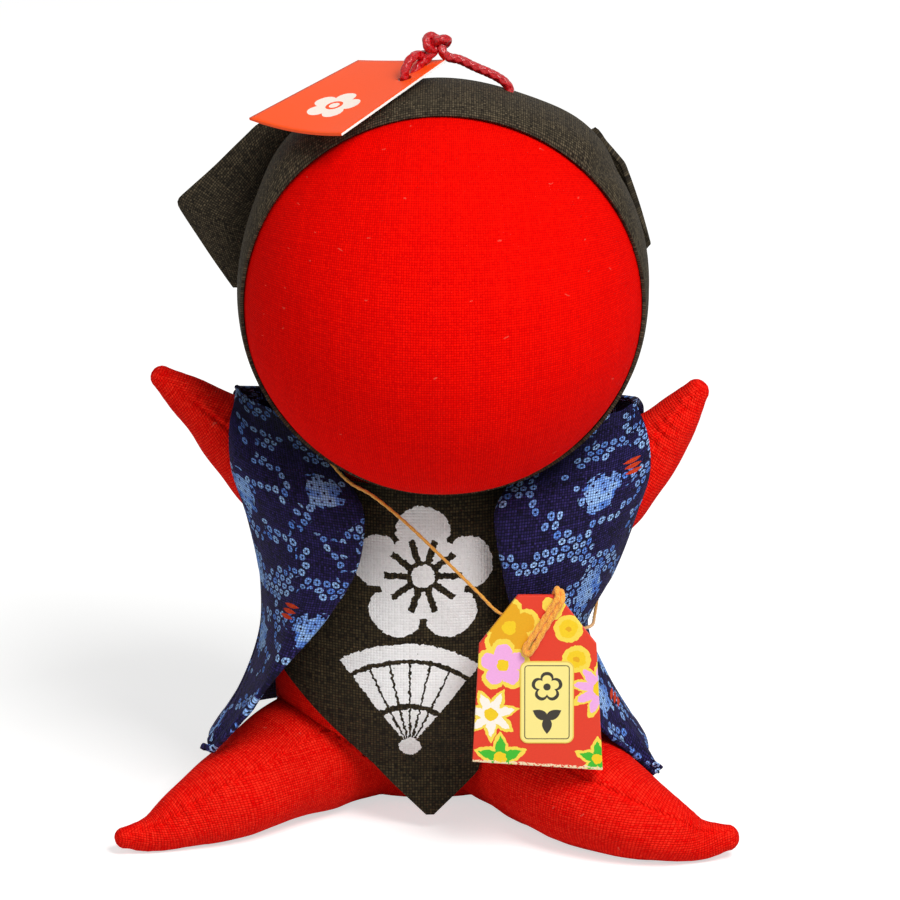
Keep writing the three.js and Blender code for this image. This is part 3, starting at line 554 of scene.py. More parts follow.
LIMB_SIDES, LIMB_RINGS = 72, 200
SEAM_CROWD = 0.36
STITCH = 1.7
SEAM_DEEP, SEAM_HALF = 0.34, 0.28
LIP, LIP_OUT, LIP_HALF = 0.18, 0.62, 0.42
PUCKER, PUCKER_REACH = 0.20, 1.9
LIMB_LUMP, FULL_RADIUS = 0.35, 3.5
TIP_END = 0.12
TIP_ROUND = ((0.35, 0.94), (0.62, 0.79), (0.82, 0.55), (0.93, 0.30))


def seam_relief(off, run, seed):
    """How far the cloth lies from a plain round at a distance from the seam: groove, lips and puckers."""
    groove = -SEAM_DEEP * math.exp(-((off / SEAM_HALF) ** 2))
    beat = 0.6 + 0.8 * noise.noise(Vector((run * 0.31, seed, 0)))
    lip = LIP * (1 + beat * math.sin(2 * math.pi * run / STITCH)) / 1.4
    lips = lip * math.exp(-(((off - LIP_OUT) / LIP_HALF) ** 2))
    wobble = run + 0.5 * noise.noise(Vector((run * 0.4, off * 0.5, seed)))
    pucker = PUCKER * beat * math.sin(2 * math.pi * wobble / STITCH)
    return groove + lips + pucker * math.exp(-off / PUCKER_REACH)


def side_turn(side):
    """The angle of a side of the limb; the sides lie closer together at the two seams."""
    turn = 2 * math.pi * side / LIMB_SIDES
    return turn - SEAM_CROWD * math.sin(2 * turn)


def limb(name, sections, seam, seed, trunk):
    """A limb of rings along its middle, from just inside the trunk to its blunt tip."""
    sections = np.array(sections, float)
    axis, sizes = sections[:, :3], np.column_stack([sections[:, 3]] * 3)
    places = list(np.linspace(0, 1, LIMB_RINGS))
    centres = [smooth(axis, t) for t in places]
    radii = [smooth(sizes, t)[0] for t in places]
    alongs = list(np.gradient(np.array(centres), axis=0))
    end, along, thick = centres[-1], alongs[-1], radii[-1]
    for out, size in TIP_ROUND:
        centres.append(end + along / np.linalg.norm(along) * thick * out)
        radii.append(thick * size)
        alongs.append(along)
    runs = np.concatenate([[0], np.cumsum(np.linalg.norm(np.diff(centres, axis=0), axis=1))])
    rings = []
    for centre, along, radius, run in zip(centres, alongs, radii, runs):
        along = along / np.linalg.norm(along)
        across = np.cross(along, (0, 0, 1))
        across /= np.linalg.norm(across)
        rise = np.cross(across, along)
        ring = []
        for k in range(LIMB_SIDES):
            turn = side_turn(k)
            angle = turn + math.radians(seam)
            off = min(turn, abs(turn - math.pi), 2 * math.pi - turn) * radius
            fade = min(radius / FULL_RADIUS, 1.0)
            place = Vector((math.cos(turn) * 1.3 + seed, math.sin(turn) * 1.3, run * 0.16))
            lump = noise.noise(place) * LIMB_LUMP
            out = radius + fade * (seam_relief(off, run, seed) + lump)
            ring.append(centre + out * (math.cos(angle) * across + math.sin(angle) * rise))
        rings.append(ring)
    tip = centres[-1] + alongs[-1] / np.linalg.norm(alongs[-1]) * radii[-1] * TIP_END
    hidden = [all(inside(trunk, Vector(at(p))) for p in ring[::4]) for ring in rings]
    first = max(hidden.index(False) - 1, 0)
    rings, radii, runs = rings[first:], radii[first:], runs[first:]
    root = np.mean(rings[0], axis=0)

    def measure(ring, side):
        """The flat cloth's measure: each half is a piece of its own, laid out along the limb."""
        ring = min(max(ring, 0), len(rings) - 1)
        turn = side_turn(side)
        half = 0 if side <= LIMB_SIDES / 2 else 1
        middle = math.pi * (0.5 + half)
        across = CUT_FROM + 0.05 * half + (turn - middle) * radii[ring] * MM
        return across, CUT_FROM + 0.3 * seed + runs[ring] * MM

    return closed_rings(name, rings, root, tip, measure)


def trees_of(*pieces):
    """The surface and the box of each piece, for finding the nearest place on it."""
    found = []
    for piece in pieces:
        points = np.array([v.co for v in piece.data.vertices])
        faces = [tuple(f.vertices) for f in piece.data.polygons]
        tree = BVHTree.FromPolygons([tuple(p) for p in points], faces)
        found.append((tree, points.min(axis=0), points.max(axis=0)))
    return found


def inside(tree, point):
    """Whether a straight line from the point crosses the surface an odd number of times."""
    way, crossings = Vector((0.31, 0.47, 0.83)).normalized(), 0
    hit = tree.ray_cast(point, way)[0]
    while hit is not None:
        crossings += 1
        hit = tree.ray_cast(hit + way * 1e-7, way)[0]
    return crossings % 2 == 1


def clear_of(points, trees, gap):
    """Moves each point that lies inside a piece, or nearer to it than the gap, out to the gap."""
    moved = np.array(points, float)
    for tree, low, high in trees:
        close = np.all((moved > low - gap) & (moved < high + gap), axis=1)
        for i in np.flatnonzero(close):
            point = Vector(moved[i])
            near, normal, _, away = tree.find_nearest(point)
            if (point - near).dot(normal) < 0 and inside(tree, point):
                moved[i] = near + normal * gap
            elif away < gap:
                moved[i] = near + (point - near).normalized() * gap
    return moved


def settle(piece, trees, gap, ground=None):
    """Presses a soft piece against what it lies on, and flat where it meets the ground."""
    points = clear_of([v.co for v in piece.data.vertices], trees, gap)
    if ground is not None:
        points[:, 2] = np.maximum(points[:, 2], ground)
    piece.data.vertices.foreach_set("co", points.ravel())
    piece.data.update()


SEWN_GAP = 0.08 * MM
settle(torso, trees_of(head), SEWN_GAP)
core = trees_of(torso, head)
limbs = {}
for seed, (name, made) in enumerate(LIMBS.items()):
    piece = limb(name, made["sections"], made["seam"], seed, core[0][0])
    settle(piece, core, SEWN_GAP, ground=SEAT_GAP * MM)
    piece.data.materials.append(limb_cotton)
    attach(piece, "doll")
    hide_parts(f"{name}_cloth", f"{name}_filling")
    limbs[name] = piece
settle(limbs["right_leg"], trees_of(limbs["left_leg"]), SEWN_GAP)


# Hood: black cotton round the whole face, turned in along its front edge and drawn over the back
# of the head, a little loose over the crown and at its two upper corners.
RIM_FORWARD, RIM_TUCK = 6.2, 3.2
HOOD_CLOTH, HOOD_GAP = 0.36, 0.1
HOOD_THICK, HOOD_HEM, HOOD_HEM_WIDTH = 1.35, 0.7, 2.4
HOOD_ROUND, HEM_STEP = 0.2, 0.5
HOOD_LOOSE, HOOD_SLACK = 1.3, 0.35
HOOD_SWELL, HOOD_SWELL_SPREAD, HOOD_SWELL_AT = 1.3, 14, (48, 135)
GATHER, GATHERS, GATHER_FROM = 0.45, 17, 0.35
DENT, DENT_AT, DENT_HALF, DENT_LEAN, DENT_REACH = 1.5, 43, 3.4, 0.8, 9
HOOD_COLUMNS, HOOD_ROWS, HOOD_END = 240, 90, 0.985
DOWN_FIRST = ((0, 0), (1, 0), (1, 1), (0, 1))
ACROSS_FIRST = ((0, 0), (0, 1), (1, 1), (1, 0))
black_cotton = cotton(
    "black cotton", "19140E", "5E5340", pitch=0.36, relief=0.06, depth=0.7, blotch=0.12, slub=0.3)
rim_tilt = math.acos(RIM_FORWARD / HEAD_RADIUS)
grid = np.zeros((HOOD_ROWS + 1, HOOD_COLUMNS + 1, 3))
for r in range(HOOD_ROWS + 1):
    tilt = rim_tilt + (math.pi - rim_tilt) * min(r / HOOD_ROWS, HOOD_END)
    back = (tilt - rim_tilt) / (math.pi - rim_tilt)
    run = (tilt - rim_tilt) * HEAD_RADIUS
    for c in range(HOOD_COLUMNS + 1):
        turn = math.pi / 2 + 2 * math.pi * c / HOOD_COLUMNS + math.pi
        degrees = math.degrees(turn) % 360
        swell = max(math.sin(turn), 0) * HOOD_LOOSE
        for corner in HOOD_SWELL_AT:
            swell += math.exp(-(((degrees - corner) / HOOD_SWELL_SPREAD) ** 2)) * HOOD_SWELL
        behind = (max(back - GATHER_FROM, 0) / (1 - GATHER_FROM)) ** 1.5
        gather = GATHER * (1 + math.sin(turn * GATHERS)) * behind
        dent = math.exp(-(((degrees - DENT_AT + run * DENT_LEAN) / DENT_HALF) ** 2)) * DENT
        swell -= dent * math.exp(-((run / DENT_REACH) ** 2))
        swell *= min(run / RIM_TUCK, 1) ** 0.5
        place = Vector((math.cos(turn) * 2.2, math.sin(turn) * 2.2, tilt * 2))
        slack = noise.noise(place) * HOOD_SLACK * min(back * 8, 1)
        loose = swell * math.sin(tilt) ** 2 + gather + slack
        out = HEAD_RADIUS + HOOD_GAP + HOOD_CLOTH / 2 + max(loose, 0)
        grid[r, c] = HEAD_CENTRE + out * np.array([
            math.cos(turn) * math.sin(tilt), -math.cos(tilt), math.sin(turn) * math.sin(tilt)])
grid[:, -1] = grid[:, 0]


def measured(grid, cut_from):
    """Each point's place in the flat cloth, in metres: along its row, and down its middle column."""
    steps = np.linalg.norm(np.diff(grid, axis=1), axis=2)
    along = np.concatenate([np.zeros((len(grid), 1)), np.cumsum(steps, axis=1)], axis=1)
    middle = grid.shape[1] // 2
    along -= along[:, middle:middle + 1]
    drop = np.linalg.norm(np.diff(grid[:, middle], axis=0), axis=1)
    down = np.concatenate([[0], np.cumsum(drop)])[:, None].repeat(grid.shape[1], axis=1)
    return np.stack([along + cut_from[0], cut_from[1] - down], axis=2) * MM


def welded(piece, within):
    """Joins the two edges of a panel that meet, and makes all its faces point out."""
    shell = bmesh.new()
    shell.from_mesh(piece.data)
    bmesh.ops.remove_doubles(shell, verts=shell.verts, dist=within)
    bmesh.ops.recalc_face_normals(shell, faces=shell.faces)
    shell.to_mesh(piece.data)
    shell.free()


def grid_faces(grid, cloth, order):
    """The faces of a grid of points, and each corner's place in the flat cloth."""
    columns = grid.shape[1]
    faces, corners = [], []
    for r in range(len(grid) - 1):
        for c in range(columns - 1):
            ring = [(r + down, c + across) for down, across in order]
            faces.append(tuple(i * columns + j for i, j in ring))
            corners += [tuple(cloth[i, j]) for i, j in ring]
    return faces, corners


def hood_mesh(grid, cloth):
    """The hood's grid, closed behind at one point."""
    faces, corners = grid_faces(grid, cloth, ACROSS_FIRST)
    rows, columns = grid.shape[:2]
    last, centre = (rows - 1) * columns, rows * columns
    points = [*at(grid.reshape(-1, 3)), at(HEAD_CENTRE + (0, HEAD_RADIUS + HOOD_GAP + 0.5, 0))]
    for c in range(columns - 1):
        faces.append((last + c, last + c + 1, centre))
        corners += [tuple(cloth[-1, c]), tuple(cloth[-1, c + 1]), tuple(cloth[-1, c])]
    return mesh_object("hood_cloth", points, faces, corners)


def thickened(piece, thickness, width, segments, hem=None, edge=(), hem_width=0.0):
    """Gives a cloth its thickness and rounds its edges; hem is the share of it left inside the hems."""
    thick = piece.modifiers.new("thickness", "SOLIDIFY")
    thick.thickness = thickness * MM
    thick.offset = 0
    if hem is not None:
        group = piece.vertex_groups.new(name="hem")
        for i, away in enumerate(edge):
            share = min(max((away / MM - hem_width) / HEM_STEP + 0.5, 0), 1)
            group.add([i], 1 - share, "REPLACE")
        thick.vertex_group = "hem"
        thick.thickness_vertex_group = hem
    round_edge = piece.modifiers.new("round edge", "BEVEL")
    round_edge.width = width * MM
    round_edge.segments = segments
    round_edge.limit_method = "ANGLE"
    round_edge.angle_limit = math.radians(60)
    bpy.context.view_layer.objects.active = piece
    for modifier in [m.name for m in piece.modifiers]:
        bpy.ops.object.modifier_apply(modifier=modifier)
    piece.data.polygons.foreach_set("use_smooth", [True] * len(piece.data.polygons))


hood = hood_mesh(grid, measured(grid, (150, 150)))
welded(hood, 1e-6)
rim = at(HEAD_CENTRE)[1] - RIM_FORWARD * MM
edge = [abs(v.co.y - rim) for v in hood.data.vertices]
thickened(hood, HOOD_CLOTH * HOOD_THICK, HOOD_ROUND, 3, HOOD_HEM, edge, HOOD_HEM_WIDTH)
settle(hood, trees_of(torso), SEWN_GAP)
hood.data.materials.append(black_cotton)
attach(hood, "doll")
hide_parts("hood")


# Hood corners: the folded corners of the hood's cloth that stand out at the temples, each a doubled
# piece of the same black cotton. Their roots run round the hood, from and to the angles given.
CORNER_DEPTH, CORNER_CLOTH = 10.6, 1.0
CORNER_ROOT, CORNER_START = 29.7, 29.9
CORNER_BACK, CORNER_FROM, CORNER_TO = 2.6, 28.4, 39.8
CORNER_ROWS, CORNER_COLUMNS, CORNER_SLACK = 70, 26, 0.25
CORNERS = {
    "hood_corner_left": {"root": (128, 185.5), "outline": [[139.9, 35.9], [166.2, 41.1], [185.5, 31.6]],
                         "shares": (0.36, 0.70), "bowl": -0.9, "flat": (0.015, 0.0225), "area": 0.00028},
    "hood_corner_right": {"root": (50, 3.5), "outline": [[41.7, 31.4], [31.3, 31.6], [7.2, 31.4]],
                          "shares": (0.2, 0.42), "bowl": 0.5, "flat": (0.010, 0.0215), "area": 0.00012},
}
SHEET_ROUND = 0.28


def round_face(angle, radius):
    """A place beside the face, from its angle and its distance from the middle of the head."""
    turn = math.radians(angle)
    return np.array([math.cos(turn) * radius, math.sin(turn) * radius])


def hood_corner(root, outline, shares, bowl):
    """A grid from the corner's root to its outline, swept back and a little hollow."""
    knots = [round_face(root[0], CORNER_START), *[round_face(*p) for p in outline]]
    marks = [0.0, *shares, 1.0]
    places = np.linspace(0, 1, CORNER_ROWS + 1)
    edge = np.array([[np.interp(t, marks, [k[i] for k in knots]) for i in (0, 1)] for t in places])
    edge = eased(edge, 2)
    points = np.zeros((CORNER_ROWS + 1, CORNER_COLUMNS + 1, 3))
    for r in range(CORNER_ROWS + 1):
        t = r / CORNER_ROWS
        inner = round_face(root[0] + (root[1] - root[0]) * t, CORNER_ROOT)
        for c in range(CORNER_COLUMNS + 1):
            u = c / CORNER_COLUMNS
            x, z = inner * (1 - u) + edge[r] * u
            swept = max(abs(x) - CORNER_FROM, 0) / (CORNER_TO - CORNER_FROM)
            hollow = bowl * math.sin(math.pi * u) * math.sin(math.pi * t)
            slack = CORNER_SLACK * noise.noise(Vector((x * 0.2, z * 0.2, 3)))
            points[r, c] = HEAD_CENTRE + (x, CORNER_DEPTH + CORNER_BACK * swept ** 2 + hollow + slack, z)
    return points


def sheet_object(name, grid, cloth, thickness, hem=None, hem_width=2.2):
    """A closed sheet round the grid, thicker in its hems if it has them."""
    made = mesh_object(name, at(grid.reshape(-1, 3)), *grid_faces(grid, cloth, DOWN_FIRST))
    sides = [np.linalg.norm(grid - side, axis=2) for side in (grid[:, :1], grid[:, -1:], grid[-1:])]
    edge = np.min(sides, axis=0).ravel() * MM
    thickened(made, thickness, thickness * SHEET_ROUND, 2, hem, edge, hem_width)
    return made


def clear_grid(grid, trees, gap, rounds=3):
    """Lays a panel over the body: pushed clear of it, with the push eased over its neighbours."""
    for _ in range(rounds):
        flat = at(grid.reshape(-1, 3))
        push = (clear_of(flat, trees, gap * MM) - flat).reshape(grid.shape) / MM
        for _ in range(4):
            padded = np.pad(push, ((1, 1), (1, 1), (0, 0)), mode="edge")
            around = (padded[:-2, 1:-1] + padded[2:, 1:-1] + padded[1:-1, :-2] + padded[1:-1, 2:]) / 4
            pushed = np.linalg.norm(push, axis=2)[:, :, None] > 0
            push = np.where(pushed, 0.5 * push + 0.5 * around, around * 0.8)
        grid = grid + push
    flat = at(grid.reshape(-1, 3))
    return grid + (clear_of(flat, trees, gap * MM) - flat).reshape(grid.shape) / MM


hood_trees = trees_of(hood)
for name, made in CORNERS.items():
    grid = hood_corner(made["root"], made["outline"], made["shares"], made["bowl"])
    cloth = measured(grid, (60, 60))
    grid = clear_grid(grid, hood_trees, CORNER_CLOTH / 2 + 0.1, rounds=1)
    piece = sheet_object(f"{name}_fold", grid, cloth, CORNER_CLOTH)
    welded(piece, 1e-6)
    piece.data.materials.append(black_cotton)
    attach(piece, "doll")
    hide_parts(name)


# Apron: black cotton with a pointed lower end, hung from the neck, with two old crests printed on it
# in thick white ink: a plum blossom above and an open fan below. Their sizes are in millimetres.
APRON_TOP, APRON_TIP = 56.0, 2.4
APRON_TOP_HALF, APRON_HALF = 14.0, 22.0
APRON_CORNER = 25.3
APRON_TIP_X, APRON_TIP_HALF = 0.4, 0.6
APRON_CLOTH, APRON_STAND, APRON_GAP = 0.5, 0.95, 0.15
APRON_WAVE, APRON_SLACK = 0.25, 0.3
APRON_COLUMNS, APRON_ROWS = 70, 110
PETAL_TURN, STAMEN_TURN = 0.25, 0.5
BLOSSOM = {"across": -0.6, "up": 42.6, "radius": 10.6, "notch": 0.36, "sharp": 2.6}
STAMEN_WIDTH, STAMENS_FROM, STAMENS_TO = 1.6, 2.4, 5.8
EYE_RING, EYE_RING_HALF = 2.1, 0.32
SPLIT_WIDTH, SPLIT_FROM = 0.8, 6.6
FAN = {"across": -2.6, "up": 14.6, "inner": 4.6, "outer": 17.4, "spread": math.radians(37)}
FAN_FOLDS, FAN_CREASE = 6, 0.75
FAN_BAND, FAN_BAND_HALF = 0.84, 0.35
FAN_LEAF_FROM, FAN_RIBS_FROM, FAN_RIBS_TO, FAN_PIN = 1.7, 0.3, 1.5, 0.36
WHITE_INK = "FFFFFF"


def petals(tree, x, y, count, radius, notch, sharp, turn):
    """How far a place lies outside a flower of that many petals, and from its middle, in metres.

    The third value runs from 0 in the middle of a petal to 1 between two petals.
    """
    angle = add(tree, "Math", y, x, operation="ARCTAN2")
    share = add(tree, "Math", angle, count / (2 * math.pi), turn, operation="MULTIPLY_ADD")
    part = add(tree, "Math", share, operation="FRACT")
    off = add(tree, "Math", add(tree, "Math", part, 0.5, operation="SUBTRACT"), operation="ABSOLUTE")
    off = add(tree, "Math", off, 2.0, operation="MULTIPLY")
    fall = add(tree, "Math", off, sharp, operation="POWER")
    reach = add(tree, "Math", fall, -notch * radius, radius, operation="MULTIPLY_ADD")
    squares = add(tree, "Math", x, x, operation="MULTIPLY")
    squares = add(tree, "Math", y, y, squares, operation="MULTIPLY_ADD")
    away = add(tree, "Math", squares, operation="SQRT")
    return add(tree, "Math", away, reach, operation="SUBTRACT"), away, off


def crests(tree, cloth, dye_and_highlight, height):
    """White ink on the black cloth, a little rough at its edges where it sank into the weave."""
    inked = shaken(tree, cloth, 1500.0, 3.0, 0.9 * MM)
    across = add(tree, "SeparateXYZ", inked)
    up = across.node.outputs["Y"]
    x = add(tree, "Math", across, BLOSSOM["across"] * MM + CUT_FROM, operation="SUBTRACT")
    y = add(tree, "Math", up, BLOSSOM["up"] * MM + CUT_FROM, operation="SUBTRACT")
    radius, notch, sharp = BLOSSOM["radius"] * MM, BLOSSOM["notch"], BLOSSOM["sharp"]
    outside, away, off = petals(tree, x, y, 5, radius, notch, sharp, PETAL_TURN)
    flower = add(tree, "Math", outside, 0.0, operation="LESS_THAN")
    _, _, stamen_off = petals(tree, x, y, 10, radius, 0.0, 1.0, STAMEN_TURN)
    width = add(tree, "Math", stamen_off, away, operation="MULTIPLY")
    thin = add(tree, "Math", width, STAMEN_WIDTH * MM, operation="LESS_THAN")
    beyond = add(tree, "Math", away, STAMENS_FROM * MM, operation="GREATER_THAN")
    within = add(tree, "Math", away, STAMENS_TO * MM, operation="LESS_THAN")
    stamens = add(tree, "Math", thin, beyond, operation="MULTIPLY")
    stamens = add(tree, "Math", stamens, within, operation="MULTIPLY")
    ring = add(tree, "Math", away, EYE_RING * MM, EYE_RING_HALF * MM, operation="COMPARE")
    between = add(tree, "Math", 1.0, off, operation="SUBTRACT")
    between = add(tree, "Math", between, away, operation="MULTIPLY")
    split = add(tree, "Math", between, SPLIT_WIDTH * MM, operation="LESS_THAN")
    outer = add(tree, "Math", away, SPLIT_FROM * MM, operation="GREATER_THAN")
    split = add(tree, "Math", split, outer, operation="MULTIPLY")
    bare = add(tree, "Math", stamens, ring, operation="MAXIMUM")
    bare = add(tree, "Math", bare, split, operation="MAXIMUM")
    flower = add(tree, "Math", flower, bare, operation="SUBTRACT", use_clamp=True)
    x = add(tree, "Math", across, FAN["across"] * MM + CUT_FROM, operation="SUBTRACT")
    y = add(tree, "Math", up, FAN["up"] * MM + CUT_FROM, operation="SUBTRACT")
    turn = add(tree, "Math", x, y, operation="ARCTAN2")
    far = add(tree, "Math", x, x, operation="MULTIPLY")
    far = add(tree, "Math", y, y, far, operation="MULTIPLY_ADD")
    far = add(tree, "Math", far, operation="SQRT")
    opened = add(tree, "Math", turn, 0.0, FAN["spread"], operation="COMPARE")
    folds = add(tree, "Math", turn, FAN_FOLDS / (2 * FAN["spread"]), 0.5, operation="MULTIPLY_ADD")
    fold = add(tree, "Math", add(tree, "Math", folds, operation="FRACT"), 0.5, operation="SUBTRACT")
    fold = add(tree, "Math", add(tree, "Math", fold, operation="ABSOLUTE"), far, operation="MULTIPLY")
    crease = add(tree, "Math", fold, FAN_CREASE * MM, operation="LESS_THAN")
    leaf_low = add(tree, "Math", far, FAN["inner"] * MM * FAN_LEAF_FROM, operation="GREATER_THAN")
    leaf_high = add(tree, "Math", far, FAN["outer"] * MM, operation="LESS_THAN")
    leaf = add(tree, "Math", leaf_low, leaf_high, operation="MULTIPLY")
    rim = FAN["outer"] * MM * FAN_BAND
    band = add(tree, "Math", far, rim, FAN_BAND_HALF * MM, operation="COMPARE")
    short = add(tree, "Math", far, rim, operation="LESS_THAN")
    lines = add(tree, "Math", crease, short, operation="MULTIPLY")
    lines = add(tree, "Math", lines, band, operation="MAXIMUM")
    leaf = add(tree, "Math", leaf, lines, operation="SUBTRACT", use_clamp=True)
    ribs_low = add(tree, "Math", far, FAN["inner"] * MM * FAN_RIBS_FROM, operation="GREATER_THAN")
    ribs_high = add(tree, "Math", far, FAN["inner"] * MM * FAN_RIBS_TO, operation="LESS_THAN")
    ribs = add(tree, "Math", ribs_low, ribs_high, operation="MULTIPLY")
    ribs = add(tree, "Math", ribs, add(tree, "Math", 1.0, crease, operation="SUBTRACT"), operation="MULTIPLY")
    pin = add(tree, "Math", far, FAN["inner"] * MM * FAN_PIN, operation="LESS_THAN")
    fan = add(tree, "Math", leaf, ribs, operation="MAXIMUM")
    fan = add(tree, "Math", fan, opened, operation="MULTIPLY")
    fan = add(tree, "Math", fan, pin, operation="MAXIMUM")
    ink = add(tree, "Math", flower, fan, operation="MAXIMUM")
    worn = add(tree, "TexNoise", {"Vector": cloth, "Scale": 900.0, "Detail": 4.0})
    pits = add(tree, "Math", add(tree, "Math", worn, 0.74, operation="LESS_THAN"), ink, operation="MULTIPLY")
    return add(tree, "Mix", {0: pits, 6: dye_and_highlight, 7: colour(WHITE_INK)}, data_type="RGBA", out=2), pits


printed_cotton = cotton(
    "printed apron cotton", "17120C", "50452F", pitch=0.44, relief=0.09, depth=0.6, blotch=0.06, slub=0.2,
    print_over=crests)
body = trees_of(torso, head, *limbs.values())
grid = np.zeros((APRON_ROWS + 1, APRON_COLUMNS + 1, 3))
corner_v = (APRON_TOP - APRON_CORNER) / (APRON_TOP - APRON_TIP)
heights = np.linspace(0, 1, 400)
column = np.array([[*smooth(torso_middle, t)[1:], *smooth(torso_half, t)[:2]] for t in heights])
for r in range(APRON_ROWS + 1):
    v = r / APRON_ROWS
    z = APRON_TOP + (APRON_TIP - APRON_TOP) * v
    widening = APRON_TOP_HALF + (APRON_HALF - APRON_TOP_HALF) * v / corner_v
    narrowing = APRON_HALF * (1 - (v - corner_v) / (1 - corner_v)) + APRON_TIP_HALF
    half_width = min(widening, narrowing)
    height = max(z, TORSO[1][0])
    body_y, body_x, body_deep = (np.interp(height, column[:, 1], column[:, k]) for k in (0, 2, 3))
    for c in range(APRON_COLUMNS + 1):
        u = c / APRON_COLUMNS
        x = (u * 2 - 1) * half_width + APRON_TIP_X * v
        ratio = min(abs(x) / (body_x + APRON_STAND), 0.97)
        y = body_y - (body_deep + APRON_STAND) * math.sqrt(1 - ratio * ratio)
        wave = APRON_WAVE * math.sin(x * 0.42 + 1.0) * v
        slack = APRON_SLACK * noise.noise(Vector((x * 0.12, z * 0.1, 8)))
        grid[r, c] = (x, y + wave + slack, z)
grid = clear_grid(grid, body, APRON_CLOTH / 2 + APRON_GAP)
cloth = grid[:, :, [0, 2]] * MM + CUT_FROM
apron = sheet_object("apron_cloth", grid, cloth, APRON_CLOTH)
apron.data.materials.append(printed_cotton)
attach(apron, "doll")
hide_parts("apron")


# Coat: sleeveless, of indigo cotton with small light blue rings, as dyers tie them, in trails and
# thick patches, with a few red leaf marks; two fronts and a back, sewn at the shoulders and sides.
RING_PITCH, RING_ROWS, RING_JOG = 1.42, 0.84, 0.14
RING_OUT, RING_IN, PATCH_IN = 0.53, 0.18, 0.22
TRAIL_HALF = 0.052
PATCH_EVERY, PATCH_HALF, PATCH_RAGGED = 15.5, 2.7, 0.22
LEAF_EVERY = (34.0, 42.0)
LEAF_TALL, LEAF_WIDE, LEAF_LEAN, LEAF_STRIPE, LEAF_INK = 1.42, 1.7, 0.35, 0.95, 0.4
RING_BLUES, LEAF_RED = ("5C8CEA", "A4CCFF"), "D2401C"
SIDE_BY_SIDE = (1000 / RING_PITCH, 1000 / RING_PITCH / RING_ROWS, 1.0)


